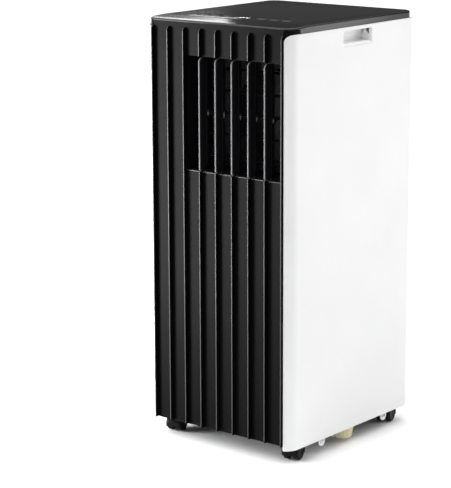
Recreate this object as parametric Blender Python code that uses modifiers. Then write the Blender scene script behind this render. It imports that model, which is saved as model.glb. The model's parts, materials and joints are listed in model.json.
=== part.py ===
"""Portable air conditioner: a tall ribbed tower on four twin-wheel casters.

Millimetres are used for every number below and turned into metres by MM.
+Z is up, the ribbed front faces -Y, and the origin is on the floor under the
middle of the footprint.
"""

import math

import bmesh
import bpy
from mathutils import Matrix, Vector

MM = 0.001

# ------------------------------------------------------------ driving sizes
HALF_W = 144.0          # outer half width over the two side panels
Y_BACK = 166.0          # rear face
Y_FACE = -159.5         # flat of the front panel between its ribs
RIB_OUT = 6.5           # how far a rib stands out of that flat
RIB_T = 2.6             # rib thickness
RIB_PITCH = 32.0        # rib spacing, nine ribs
Z_TOP = 686.0           # top of the lid
Z_SIDE_TOP = 674.6      # top of the side panels
Z_SIDE_BOT = 26.0       # bottom of the side panels
Z_FRONT_BOT = 33.0      # bottom of the front panel
SKIN = 2.6              # wall of the mouldings
R_FRONT = 22.5          # vertical corner radius at the front
R_REAR = 12.0           # vertical corner radius at the rear
GAP = 0.3               # running gap between neighbouring mouldings

OUT_X = (-62.4, 124.0)  # air outlet, left and right
OUT_Z = (450.0, 630.0)  # air outlet, bottom and top
LOUVER_X = (-32.0, 0.0, 32.0, 64.0, 96.0)
LOUVER_Y = -148.0       # pivot line of the upright louvers
LOUVER_CRANK = 6.0      # crank pin behind the pivot
VANE_Z = (471.0, 505.5, 540.0, 574.5, 609.0)
VANE_Y = -121.0         # pivot line of the level vanes
VANE_CRANK = 9.0

CASTER_X = 120.0
CASTER_Y = (-126.5, 129.0)
TRAIL = 7.0             # wheel axle behind the swivel
WHEEL_R = 13.5
CASTER_TURN = 12.0      # degrees each caster is swivelled at rest

HANDLE_Y = (-29.0, 47.0)
HANDLE_Z = (648.5, 668.0)
EXHAUST_Z = 330.0
EXHAUST_R = 64.0
UP_FILTER = (430.5, 648.0)
LOW_GRILLE = (66.0, 230.0)
KEY_X = (-82.0, -58.0, -34.0, 34.0, 58.0, 82.0)
KEY_NAMES = ("key_power", "key_mode", "key_timer", "key_fan", "key_down", "key_up")
KEY_Y = -92.0
UP_FAN = (29.0, 532.0)  # x, z of the upper blower's axis
LOW_FAN = (0.0, 148.0)  # x, z of the lower blower's axis
DRAIN_CAP = (126.0, 4.0)
REAR_DRAIN = (-60.0, 43.0)
GLAND = (112.0, 252.0)

# ------------------------------------------------------------ a clean scene
for old in list(bpy.data.objects):
    bpy.data.objects.remove(old, do_unlink=True)

PARTS = bpy.data.collections.new("portable_air_conditioner")
HELPERS = bpy.data.collections.new("cutters")
bpy.context.scene.collection.children.link(PARTS)
bpy.context.scene.collection.children.link(HELPERS)


def material(name, colour, roughness, metallic=0.0):
    made = bpy.data.materials.new(name)
    made.use_nodes = True
    shader = made.node_tree.nodes["Principled BSDF"]
    shader.inputs["Base Color"].default_value = (*colour, 1.0)
    shader.inputs["Roughness"].default_value = roughness
    shader.inputs["Metallic"].default_value = metallic
    made.diffuse_color = (*colour, 1.0)
    return made


BLACK = material("satin_black_plastic", (0.035, 0.035, 0.037), 0.42)
LID = material("lid_black_plastic", (0.030, 0.030, 0.032), 0.38)
WHITE = material("white_plastic", (0.86, 0.86, 0.86), 0.35)
GLOSS = material("gloss_black_overlay", (0.008, 0.008, 0.010), 0.10)
KEYCAP = material("keycap_black", (0.045, 0.045, 0.048), 0.35)
DARK = material("inner_black_plastic", (0.015, 0.015, 0.016), 0.5)
GREY = material("grey_plastic", (0.30, 0.30, 0.31), 0.5)
RUBBER = material("caster_black", (0.012, 0.012, 0.012), 0.45)
NATURAL = material("natural_nylon", (0.78, 0.70, 0.42), 0.35)
STEEL = material("painted_steel", (0.02, 0.02, 0.022), 0.4, 0.3)
COPPER = material("copper", (0.72, 0.36, 0.20), 0.3, 1.0)
FINS = material("aluminium_fins", (0.72, 0.73, 0.75), 0.35, 1.0)
BOARD = material("circuit_board", (0.03, 0.20, 0.08), 0.5)

# ------------------------------------------------------------ shape helpers


def bm_box(lo, hi, into=None):
    bm = into or bmesh.new()
    made = bmesh.ops.create_cube(bm, size=1.0)["verts"]
    lo, hi = Vector(lo) * MM, Vector(hi) * MM
    bmesh.ops.scale(bm, vec=hi - lo, verts=made)
    bmesh.ops.translate(bm, vec=(lo + hi) / 2, verts=made)
    return bm


def bm_rod(a, b, r, sides=20, r2=None, into=None):
    """A cylinder, or a cone with r2, from point a to point b."""
    bm = into or bmesh.new()
    a, b = Vector(a) * MM, Vector(b) * MM
    turn = (b - a).to_track_quat("Z", "Y").to_matrix().to_4x4()
    bmesh.ops.create_cone(
        bm,
        cap_ends=True,
        segments=sides,
        radius1=r * MM,
        radius2=(r if r2 is None else r2) * MM,
        depth=(b - a).length,
        matrix=Matrix.Translation((a + b) / 2) @ turn,
    )
    return bm


def arc(cx, cy, r, start, end, steps):
    """Points along an arc, in degrees, both ends included."""
    found = []
    for i in range(steps + 1):
        a = math.radians(start + (end - start) * i / steps)
        found.append((cx + r * math.cos(a), cy + r * math.sin(a)))
    return found


def rounded(x0, x1, y0, y1, rf, rb, steps=6):
    """A rectangle whose corners at y0 have radius rf, and those at y1 have rb."""
    return (
        arc(x0 + rf, y0 + rf, rf, 180, 270, steps)
        + arc(x1 - rf, y0 + rf, rf, 270, 360, steps)
        + arc(x1 - rb, y1 - rb, rb, 0, 90, steps)
        + arc(x0 + rb, y1 - rb, rb, 90, 180, steps)
    )


def bm_prism(outline, low, high, along="Z"):
    """A flat outline as a filled 2D curve, given its thickness by extrusion.

    along Z: the outline is (x, y). along X: it is (y, z). along Y: it is (x, z).
    """
    curve = bpy.data.curves.new("outline", "CURVE")
    curve.dimensions = "2D"
    curve.fill_mode = "BOTH"
    curve.extrude = (high - low) / 2 * MM
    spline = curve.splines.new("POLY")
    spline.points.add(len(outline) - 1)
    for point, (u, v) in zip(spline.points, outline):
        point.co = (u * MM, v * MM, 0.0, 1.0)
    spline.use_cyclic_u = True
    holder = bpy.data.objects.new("outline", curve)
    HELPERS.objects.link(holder)
    graph = bpy.context.evaluated_depsgraph_get()
    mesh = bpy.data.meshes.new_from_object(holder.evaluated_get(graph))
    bm = bmesh.new()
    bm.from_mesh(mesh)
    bmesh.ops.remove_doubles(bm, verts=bm.verts, dist=1e-6)
    middle = (low + high) / 2 * MM
    place = {
        "Z": Matrix.Translation((0, 0, middle)),
        "X": Matrix(((0, 0, 1, middle), (1, 0, 0, 0), (0, 1, 0, 0), (0, 0, 0, 1))),
        "Y": Matrix(((1, 0, 0, 0), (0, 0, -1, middle), (0, 1, 0, 0), (0, 0, 0, 1))),
    }[along]
    bmesh.ops.transform(bm, matrix=place, verts=bm.verts)
    bmesh.ops.recalc_face_normals(bm, faces=bm.faces)
    bpy.data.objects.remove(holder, do_unlink=True)
    bpy.data.meshes.remove(mesh)
    bpy.data.curves.remove(curve)
    return bm


def joined(*pieces):
    """Several bmeshes in one, as bodies that don't touch."""
    whole = bmesh.new()
    for bm in pieces:
        mesh = bpy.data.meshes.new("piece")
        bm.to_mesh(mesh)
        bm.free()
        whole.from_mesh(mesh)
        bpy.data.meshes.remove(mesh)
    return whole


def boxes(*ranges):
    return joined(*[bm_box(lo, hi) for lo, hi in ranges])


def helper(name, bm):
    mesh = bpy.data.meshes.new(name)
    bm.to_mesh(mesh)
    bm.free()
    made = bpy.data.objects.new(name, mesh)
    HELPERS.objects.link(made)
    made.hide_render = True
    made.display_type = "WIRE"
    return made


def part(name, finish, bm, steps=(), origin=(0, 0, 0), bevel=0.0, bevel_steps=2, smooth=True):
    """A named piece. steps holds ("add" or "cut", bmesh) in the order they are done."""
    bmesh.ops.translate(bm, vec=-Vector(origin) * MM, verts=bm.verts)
    mesh = bpy.data.meshes.new(name)
    bm.to_mesh(mesh)
    bm.free()
    mesh.materials.append(finish)
    made = bpy.data.objects.new(name, mesh)
    made.location = Vector(origin) * MM
    PARTS.objects.link(made)
    if smooth:
        mesh.shade_smooth()
        mesh.set_sharp_from_angle(angle=math.radians(32))
    if bevel:
        rim = made.modifiers.new("rounded_edges", "BEVEL")
        rim.width = bevel * MM
        rim.segments = bevel_steps
        rim.limit_method = "ANGLE"
        rim.angle_limit = math.radians(60)
    for number, (kind, tool) in enumerate(steps):
        other = helper(f"{name}_{kind}_{number}", tool)
        boolean = made.modifiers.new(f"{kind}_{number}", "BOOLEAN")
        boolean.operation = "UNION" if kind == "add" else "DIFFERENCE"
        boolean.solver = "EXACT"
        boolean.object = other
    return made


def turned(name, finish, profile, centre, axis="Z", steps=24, extra=()):
    """A lathe shape. The profile is (radius, distance along the axis), and runs down its outer side."""
    mesh = bpy.data.meshes.new(name)
    bm = bmesh.new()
    before = None
    for r, h in profile:
        vertex = bm.verts.new((r * MM, 0.0, h * MM))
        if before is not None:
            bm.edges.new((before, vertex))
        before = vertex
    bm.to_mesh(mesh)
    bm.free()
    mesh.materials.append(finish)
    made = bpy.data.objects.new(name, mesh)
    PARTS.objects.link(made)
    made.location = Vector(centre) * MM
    if axis == "X":
        made.rotation_euler = (0.0, math.pi / 2, 0.0)
    elif axis == "Y":
        made.rotation_euler = (-math.pi / 2, 0.0, 0.0)
    screw = made.modifiers.new("turned", "SCREW")
    screw.steps = steps
    screw.render_steps = steps
    screw.use_merge_vertices = True
    screw.merge_threshold = 0.00001
    screw.use_smooth_shade = True
    for number, (kind, tool) in enumerate(extra):
        other = helper(f"{name}_{kind}_{number}", tool)
        boolean = made.modifiers.new(f"{kind}_{number}", "BOOLEAN")
        boolean.operation = "UNION" if kind == "add" else "DIFFERENCE"
        boolean.solver = "EXACT"
        boolean.object = other
    return made


def tube(name, finish, points, r, resolution=2):
    """A bent pipe: a POLY spline read from a smooth curve through the given points."""
    curve = bpy.data.curves.new(name, "CURVE")
    curve.dimensions = "3D"
    curve.bevel_depth = r * MM
    curve.bevel_resolution = resolution
    curve.use_fill_caps = True
    spline = curve.splines.new("POLY")
    spline.points.add(len(points) - 1)
    for point, co in zip(spline.points, points):
        point.co = (*(Vector(co) * MM), 1.0)
    curve.materials.append(finish)
    made = bpy.data.objects.new(name, curve)
    PARTS.objects.link(made)
    return made


def smooth_path(knots, step=9.0):
    """Catmull-Rom through the knots, read off at about the given spacing."""
    pts = [Vector(k) for k in knots]
    pts = [pts[0] * 2 - pts[1]] + pts + [pts[-1] * 2 - pts[-2]]
    found = []
    for i in range(1, len(pts) - 2):
        a, b, c, d = pts[i - 1], pts[i], pts[i + 1], pts[i + 2]
        count = max(2, round((c - b).length / step))
        for k in range(count):
            t = k / count
            found.append(
                0.5 * (2 * b + (c - a) * t + (2 * a - 5 * b + 4 * c - d) * t * t + (3 * b - a - 3 * c + d) * t ** 3)
            )
    found.append(pts[-2])
    return found


# ------------------------------------------------------------ base and casters
tray_out = rounded(-140.8, 140.8, -156.0, 162.8, 18.8, 9.0, 6)
tray_in = rounded(-138.2, 138.2, -153.4, 160.2, 16.2, 6.4, 6)
LUG_Y = (-71.0, 100.8)
sockets = [(sx * CASTER_X, y) for sx in (-1, 1) for y in CASTER_Y]
part(
    "base_tray",
    DARK,
    bm_prism(tray_out, 31.0, 52.0),
    [
        ("cut", bm_prism(tray_in, 34.0, 60.0)),
        ("add", joined(*[bm_rod((x, y, 33.5), (x, y, 48.0), 9.0, 16) for x, y in sockets])),
        ("cut", joined(*[bm_rod((x, y, 25.0), (x, y, 46.0), 4.3, 12) for x, y in sockets])),
        ("cut", boxes(*[((s * 139.0 - 3.4, y - 9, 25), (s * 139.0 + 3.4, y + 9, 60)) for s in (-1, 1) for y in LUG_Y])),
        ("cut", bm_rod((*DRAIN_CAP, 25.0), (*DRAIN_CAP, 40.0), 7.5, 16)),
        ("cut", bm_rod((REAR_DRAIN[0], 150, REAR_DRAIN[1]), (REAR_DRAIN[0], 170, REAR_DRAIN[1]), 7.9, 16)),
    ],
)

swivel = math.radians(CASTER_TURN)
for tag, sx, sy in (("front_left", -1, 0), ("front_right", 1, 0), ("rear_left", -1, 1), ("rear_right", 1, 1)):
    cx, cy = sx * CASTER_X, CASTER_Y[sy]

    def trailed(bm):
        """Drawn about the origin with the axle along X, then swivelled and moved under its socket."""
        bmesh.ops.rotate(bm, cent=(0, 0, 0), matrix=Matrix.Rotation(swivel, 3, "Z"), verts=bm.verts)
        bmesh.ops.translate(bm, vec=Vector((cx, cy, 0)) * MM, verts=bm.verts)
        return bm

    wz = WHEEL_R
    part(
        f"caster_{tag}_housing",
        RUBBER,
        trailed(bm_rod((-11.6, TRAIL, wz), (11.6, TRAIL, wz), 16.2, 18)),
        [
            ("add", trailed(bm_rod((9.0, TRAIL, wz), (14.0, TRAIL, wz), 16.0, 18, 14.2))),
            ("add", trailed(bm_rod((-9.0, TRAIL, wz), (-14.0, TRAIL, wz), 16.0, 18, 14.2))),
            ("cut", trailed(joined(
                bm_rod((3.4, TRAIL, wz), (20, TRAIL, wz), 14.3, 18),
                bm_rod((-20, TRAIL, wz), (-3.4, TRAIL, wz), 14.3, 18),
            ))),
            ("cut", trailed(bm_box((-30, TRAIL - 30, -20), (30, TRAIL + 30, 9.0)))),
            ("add", bm_rod((cx, cy, 24.0), (cx, cy, 30.6), 8.5, 14)),
            ("add", bm_rod((cx, cy, 29.0), (cx, cy, 45.0), 4.0, 10)),
            ("cut", trailed(bm_rod((-8, TRAIL, wz), (8, TRAIL, wz), 2.3, 10))),
            ("cut", trailed(joined(
                bm_rod((3.4, TRAIL, wz), (20, TRAIL, wz), 14.1, 18),
                bm_rod((-20, TRAIL, wz), (-3.4, TRAIL, wz), 14.1, 18),
            ))),
        ],
        origin=(cx, cy, 30.6),
    )
    wheels = turned(
        f"caster_{tag}_wheels",
        RUBBER,
        [(0, 13.6), (10.8, 13.6), (WHEEL_R, 12.0), (WHEEL_R, 5.6), (12.4, 4.1), (2.0, 4.1),
         (2.0, -4.1), (12.4, -4.1), (WHEEL_R, -5.6), (WHEEL_R, -12.0), (10.8, -13.6), (0, -13.6)],
        (cx - TRAIL * math.sin(swivel), cy + TRAIL * math.cos(swivel), wz),
        axis="X",
        steps=18,
    )
    wheels.rotation_euler = (0.0, math.pi / 2, swivel)

turned(
    "base_drain_cap",
    NATURAL,
    [(0, 36.0), (6.6, 36.0), (6.6, 30.5), (14.6, 30.5), (14.6, 25.6), (17.0, 25.3), (17.0, 22.5), (13.8, 8.6),
     (12.4, 7.2), (0, 7.2)],
    (*DRAIN_CAP, 0.0),
    steps=20,
)

# ------------------------------------------------------------ front panel
SIDE_CY = -139.5        # centre line of the lid's and the brow's front corners
WRAP_CX, WRAP_CY = HALF_W - R_FRONT, -142.0  # centre of the side panels' front corners
WRAP_X = 129.6          # where the side panels end, beside the outer ribs
ribs = []
for i in range(9):
    x = (i - 4) * RIB_PITCH
    shape = (
        [(Y_FACE + 0.6, 32.0), (Y_FACE - RIB_OUT, 32.0)]
        + arc(Y_FACE, 673.0 - RIB_OUT, RIB_OUT, 180, 90, 4)
        + [(Y_FACE + 0.6, 673.0)]
    )
    ribs.append(bm_prism(shape, x - RIB_T / 2, x + RIB_T / 2, "X"))


def corner_wall(s, cx, r_out, r_in, start, z0, z1, flat_to=None):
    """A bent wall round a front corner, s -1 on the left and 1 on the right."""
    outer = arc(cx, WRAP_CY, r_out, start, 0, 6)
    inner = arc(cx, WRAP_CY, r_in, 0, start, 6)
    return bm_prism([(s * x, y) for x, y in outer + inner], z0, z1)


brow = (
    arc(124.0, SIDE_CY, 20.0, 0, -90, 6)
    + [(-x, y) for x, y in arc(124.0, SIDE_CY, 20.0, -90, 0, 6)]
    + [(-x, y) for x, y in arc(124.0, SIDE_CY, 15.0, 0, -90, 6)]
    + arc(124.0, SIDE_CY, 15.0, -90, 0, 6)
)
panel = [
    (-129.7, -140), (-129.7, Y_FACE), (129.7, Y_FACE), (129.7, -140),
    (127.2, -140), (127.2, Y_FACE + 3), (-127.2, Y_FACE + 3), (-127.2, -140),
]
part(
    "front_panel",
    BLACK,
    bm_prism(panel, Z_FRONT_BOT, 681.2),
    [
        ("cut", boxes(*[((s * 128.4 - 3, Y_FACE + 3.0, 20), (s * 128.4 + 3, -130, 54)) for s in (-1, 1)])),
        ("add", joined(*ribs)),
        ("add", joined(*[corner_wall(s, WRAP_CX, 19.5, 15.9, -71, 660.0, 676.5) for s in (-1, 1)])),
        ("add", bm_prism(brow, 674.9, 681.2)),
        ("cut", bm_box((OUT_X[0], -175, OUT_Z[0]), (OUT_X[1], -150, OUT_Z[1]))),
    ],
)

# ------------------------------------------------------------ side panels and handles
for s, side in ((-1, "left"), (1, "right")):
    front_a = -math.degrees(math.acos((WRAP_X - WRAP_CX) / R_FRONT))
    front_b = -math.degrees(math.acos((WRAP_X - WRAP_CX) / (R_FRONT - SKIN)))
    outline = (
        arc(WRAP_CX, WRAP_CY, R_FRONT, front_a, 0, 8)
        + arc(HALF_W - R_REAR, Y_BACK - R_REAR, R_REAR, 0, 90, 6)
        + arc(HALF_W - R_REAR, Y_BACK - R_REAR, R_REAR - SKIN, 90, 0, 6)
        + arc(WRAP_CX, WRAP_CY, R_FRONT - SKIN, 0, front_b, 8)
    )
    shoulder = [(128.0, 680.0), (128.0, 660.6)] + arc(HALF_W, 660.6, 14.0, 180, 90, 6) + [(HALF_W + 4, 674.6), (HALF_W + 4, 680.0)]
    lugs = []
    for y in LUG_Y:
        loop = [(y - 7.8, 42.0)] + arc(y, 20.8, 7.8, 180, 360, 8) + [(y + 7.8, 42.0)]
        lugs.append(bm_prism(loop, min(s * 136.6, s * 139.2), max(s * 136.6, s * 139.2), "X"))
    eyes = [
        bm_prism([(y - 4.8, 29.0)] + arc(y, 20.8, 4.8, 180, 360, 6) + [(y + 4.8, 29.0)], min(s * 130, s * 141), max(s * 130, s * 141), "X")
        for y in LUG_Y
    ]
    stubs = boxes(*[
        ((min(s * 138.6, s * 141.9), y - 7.8, 30.0), (max(s * 138.6, s * 141.9), y + 7.8, 42.0)) for y in LUG_Y
    ])
    part(
        f"{side}_side_panel",
        WHITE,
        bm_prism([(s * x, y) for x, y in outline], Z_SIDE_BOT, Z_SIDE_TOP),
        [
            ("cut", bm_prism([(s * x, z) for x, z in shoulder], -175, -125, "Y")),
            ("cut", bm_box((min(s * 135, s * 150), HANDLE_Y[0] - 2.2, HANDLE_Z[0] - 2.7),
                           (max(s * 135, s * 150), HANDLE_Y[1] + 2.2, HANDLE_Z[1] + 2.7))),
            ("add", stubs),
            ("add", joined(*lugs)),
            ("cut", joined(*eyes)),
        ],
    )
    part(
        f"{side}_handle_cup",
        WHITE,
        bm_box((min(s * 120, s * 141.1), HANDLE_Y[0] - 1.9, 643.5), (max(s * 120, s * 141.1), HANDLE_Y[1] + 1.9, 673.6)),
        [
            ("add", bm_box((min(s * 139, s * 143.9), HANDLE_Y[0] - 1.9, HANDLE_Z[0] - 2.4),
                           (max(s * 139, s * 143.9), HANDLE_Y[1] + 1.9, HANDLE_Z[1] + 2.4))),
            ("cut", bm_box((min(s * 137, s * 150), HANDLE_Y[0], HANDLE_Z[0]), (max(s * 137, s * 150), HANDLE_Y[1], HANDLE_Z[1]))),
            ("cut", bm_box((min(s * 122, s * 138.5), HANDLE_Y[0], HANDLE_Z[0]), (max(s * 122, s * 138.5), HANDLE_Y[1], 671.6))),
        ],
    )

# ------------------------------------------------------------ lid and controls
LID_Y0 = -161.0
slope = bm_box((-160, -60, 0), (160, 0, 20))
bmesh.ops.rotate(slope, cent=(0, 0, 0), matrix=Matrix.Rotation(math.radians(2.27), 3, "X"), verts=slope.verts)
bmesh.ops.translate(slope, vec=Vector((0, -118.0, Z_TOP)) * MM, verts=slope.verts)
key_wells = [((x - 7.6, KEY_Y - 5.2, 675.0), (x + 7.6, KEY_Y + 5.2, 700.0)) for x in KEY_X]
part(
    "top_cover",
    LID,
    bm_prism(rounded(-HALF_W, HALF_W, LID_Y0, Y_BACK, 21.0, 20.0, 7), 668.0, Z_TOP),
    [
        ("cut", bm_box((-160, -180, 650), (160, 180, 674.9))),
        ("cut", bm_box((-160, -180, 650), (160, -139.2, 681.5))),
        ("cut", bm_prism(rounded(-141.0, 141.0, -136.0, 163.0, 4.0, 17.0, 4), 660.0, 683.0)),
        ("cut", slope),
        ("cut", bm_box((-99.0, -113.0, 684.8), (99.0, -71.0, 700.0))),
        ("cut", boxes(*key_wells, ((-18.3, KEY_Y - 7.3, 675), (18.3, KEY_Y + 7.3, 700)))),
    ],
    bevel=2.2,
    bevel_steps=3,
)
part(
    "control_overlay",
    GLOSS,
    bm_box((-98.7, -112.7, 685.1), (98.7, -71.3, 686.0)),
    [("cut", boxes(*key_wells, ((-18.3, KEY_Y - 7.3, 675), (18.3, KEY_Y + 7.3, 700))))],
)
part("display_lens", GLOSS, bm_box((-18.0, KEY_Y - 7.0, 683.5), (18.0, KEY_Y + 7.0, 686.0)), bevel=0.25, bevel_steps=1)
for name, x in zip(KEY_NAMES, KEY_X):
    part(
        name,
        KEYCAP,
        bm_box((x - 7.2, KEY_Y - 4.8, 682.0), (x + 7.2, KEY_Y + 4.8, 686.5)),
        [("add", bm_box((x - 8.8, KEY_Y - 6.2, 681.3), (x + 8.8, KEY_Y + 6.2, 682.5)))],
        origin=(x, KEY_Y, 686.5),
    )
part(
    "control_board",
    BOARD,
    bm_box((-97, -114, 676.4), (97, -70, 678.0)),
    [
        ("add", boxes(*[((x - 3, KEY_Y - 3, 677.5), (x + 3, KEY_Y + 3, 680.2)) for x in KEY_X],
                      ((-17, KEY_Y - 6, 677.5), (17, KEY_Y + 6, 683.0)))),
    ],
)

# ------------------------------------------------------------ air outlet
fx0, fx1, fz0, fz1 = OUT_X[0] - 2.2, OUT_X[1] + 2.2, OUT_Z[0] - 2.2, OUT_Z[1] + 2.2
part(
    "outlet_frame",
    DARK,
    bm_box((fx0, -156.2, fz0), (fx1, -95.0, fz1)),
    [
        ("cut", bm_box((OUT_X[0], -170, OUT_Z[0]), (OUT_X[1], -80, OUT_Z[1]))),
        ("cut", joined(*[bm_rod((x, LOUVER_Y, 435), (x, LOUVER_Y, 645), 2.2, 8) for x in LOUVER_X])),
        ("cut", joined(*[bm_rod((-80, VANE_Y, z), (140, VANE_Y, z), 2.2, 8) for z in VANE_Z])),
    ],
)
for i, x in enumerate(LOUVER_X):
    blade = (
        [(-141.0, 451.5)]
        + arc(-162.2, 454.5, 3.0, 270, 180, 3)
        + arc(-158.2, 621.5, 7.0, 180, 90, 5)
        + [(-141.0, 628.5)]
    )
    part(
        f"louver_{i + 1}",
        BLACK,
        bm_prism(blade, x - 1.2, x + 1.2, "X"),
        [
            ("add", bm_rod((x, LOUVER_Y, 448.2), (x, LOUVER_Y, 631.8), 1.75, 8)),
            ("cut", bm_box((x - 5, -146.3, 535.0), (x + 5, -130, 545.0))),
            ("add", bm_rod((x, LOUVER_Y + LOUVER_CRANK, 534.5), (x, LOUVER_Y + LOUVER_CRANK, 545.5), 1.15, 8)),
        ],
        origin=(x, LOUVER_Y, 540.0),
    )
part(
    "louver_link_bar",
    DARK,
    bm_box((LOUVER_X[0] - 4, LOUVER_Y + 4.1, 538.0), (LOUVER_X[-1] + 4, LOUVER_Y + 7.9, 542.0)),
    [("cut", joined(*[bm_rod((x, LOUVER_Y + LOUVER_CRANK, 533), (x, LOUVER_Y + LOUVER_CRANK, 547), 1.4, 8) for x in LOUVER_X]))],
    origin=(LOUVER_X[2], LOUVER_Y + LOUVER_CRANK, 540.0),
)
for i, z in enumerate(VANE_Z):
    left_end = -74.0 if i == 2 else -64.2
    part(
        f"vane_{i + 1}",
        DARK,
        bm_box((OUT_X[0] + 1, VANE_Y - 11, z - 1.0), (OUT_X[1] - 1, VANE_Y + 11, z + 1.0)),
        [
            ("add", bm_rod((left_end, VANE_Y, z), (OUT_X[1] + 1.9, VANE_Y, z), 1.75, 8)),
            ("cut", bm_box((26.5, VANE_Y + 4.7, z - 5), (35.5, VANE_Y + 20, z + 5))),
            ("add", bm_rod((26.0, VANE_Y + VANE_CRANK, z), (36.0, VANE_Y + VANE_CRANK, z), 1.15, 8)),
        ],
        origin=(31.0, VANE_Y, z),
    )
part(
    "vane_link_bar",
    DARK,
    bm_box((29.0, VANE_Y + 7.1, VANE_Z[0] - 4), (33.0, VANE_Y + 10.9, VANE_Z[-1] + 4)),
    [("cut", joined(*[bm_rod((20, VANE_Y + VANE_CRANK, z), (40, VANE_Y + VANE_CRANK, z), 1.4, 8) for z in VANE_Z]))],
    origin=(31.0, VANE_Y + VANE_CRANK, VANE_Z[2]),
)
part(
    "swing_motor",
    GREY,
    bm_rod((-88, VANE_Y, VANE_Z[2]), (-65.0, VANE_Y, VANE_Z[2]), 13.0, 20),
    [
        ("add", bm_box((-68.0, VANE_Y - 19, VANE_Z[2] - 4), (-65.0, VANE_Y + 19, VANE_Z[2] + 4))),
        ("cut", bm_rod((-76, VANE_Y, VANE_Z[2]), (-60, VANE_Y, VANE_Z[2]), 2.15, 10)),
    ],
)

# ------------------------------------------------------------ rear cover and what is in it
HINGE_Y, HINGE_Z = 164.0, 434.5
part(
    "rear_cover",
    WHITE,
    bm_box((-131.7, Y_BACK - SKIN, Z_SIDE_BOT), (131.7, Y_BACK, Z_SIDE_TOP)),
    [
        ("add", boxes(*[((s * 107 - 2.7, 160.0, 430.8), (s * 107 + 2.7, 164.2, 441.0)) for s in (-1, 1)])),
        ("cut", boxes(
            ((-104, 140, UP_FILTER[0]), (104, 180, UP_FILTER[1])),
            ((-104, 140, LOW_GRILLE[0]), (104, 180, LOW_GRILLE[1])),
        )),
        ("cut", joined(
            bm_rod((0, 150, EXHAUST_Z), (0, 180, EXHAUST_Z), 71.1, 32),
            bm_rod((GLAND[0], 150, GLAND[1]), (GLAND[0], 180, GLAND[1]), 9.3, 16),
            bm_rod((REAR_DRAIN[0], 150, REAR_DRAIN[1]), (REAR_DRAIN[0], 180, REAR_DRAIN[1]), 12.0, 20),
        )),
        ("cut", bm_rod((-108.2, HINGE_Y, HINGE_Z), (108.2, HINGE_Y, HINGE_Z), 1.45, 10)),
    ],
)


def slots(z_first, z_last, step, height, y0=150, y1=180):
    rows = []
    z = z_first
    while z <= z_last + 1e-6:
        for x0, x1 in ((-97, -34), (-31.5, 31.5), (34, 97)):
            rows.append(((x0, y0, z), (x1, y1, z + height)))
        z += step
    return boxes(*rows)


part(
    "upper_filter_frame",
    WHITE,
    bm_box((-103.7, 158.0, 432.6), (103.7, Y_BACK, 647.6)),
    [
        ("cut", bm_box((-100.0, 150, 438.0), (100.0, 162.6, 643.0))),
        ("cut", slots(443.0, 628.0, 20.0, 15.4)),
        ("add", bm_rod((-106.8, HINGE_Y, HINGE_Z), (106.8, HINGE_Y, HINGE_Z), 1.15, 10)),
    ],
    origin=(0, HINGE_Y, HINGE_Z),
)
part(
    "lower_intake_grille",
    WHITE,
    bm_box((-103.7, 162.6, 66.3), (103.7, Y_BACK, 229.7)),
    [("cut", slots(73.0, 212.0, 18.8, 14.4))],
)
turned(
    "exhaust_collar",
    WHITE,
    [(EXHAUST_R, 166.0), (70.4, 166.0), (70.4, 146.0), (EXHAUST_R, 146.0), (EXHAUST_R, 166.0)],
    (0, 0, EXHAUST_Z),
    axis="Y",
    steps=32,
    extra=[("add", boxes(*[
        ((-5, 156, EXHAUST_Z + 60.5), (5, 159, EXHAUST_Z + 66)),
        ((-5, 156, EXHAUST_Z - 66), (5, 159, EXHAUST_Z - 60.5)),
        ((60.5, 156, EXHAUST_Z - 5), (66, 159, EXHAUST_Z + 5)),
        ((-66, 156, EXHAUST_Z - 5), (-60.5, 159, EXHAUST_Z + 5)),
    ]))],
)
turned(
    "rear_drain_plug",
    DARK,
    [(0, 165.6), (8.0, 165.6), (11.6, 164.6), (11.6, 163.1), (7.5, 163.1), (7.2, 152.0), (0, 152.0)],
    (REAR_DRAIN[0], 0, REAR_DRAIN[1]),
    axis="Y",
    steps=20,
)
turned(
    "cord_gland",
    DARK,
    [(4.2, 166.0), (8.9, 166.0), (8.9, 156.0), (4.2, 156.0), (4.2, 166.0)],
    (GLAND[0], 0, GLAND[1]),
    axis="Y",
    steps=16,
)

# ------------------------------------------------------------ machinery
deck = rounded(-138.0, 138.0, -138.0, 160.0, 6.0, 6.0, 3)
part(
    "mid_deck",
    GREY,
    bm_prism(deck, 404.0, 416.0),
    [
        ("cut", bm_prism(rounded(-135.6, 135.6, -135.6, 157.6, 4.0, 4.0, 3), 406.6, 430.0)),
        ("cut", bm_rod((-82, -110, 400), (-82, -110, 430), 5.6, 12)),
        ("cut", bm_rod((118, 96, 400), (118, 96, 430), 3.2, 10)),
    ],
)


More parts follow.
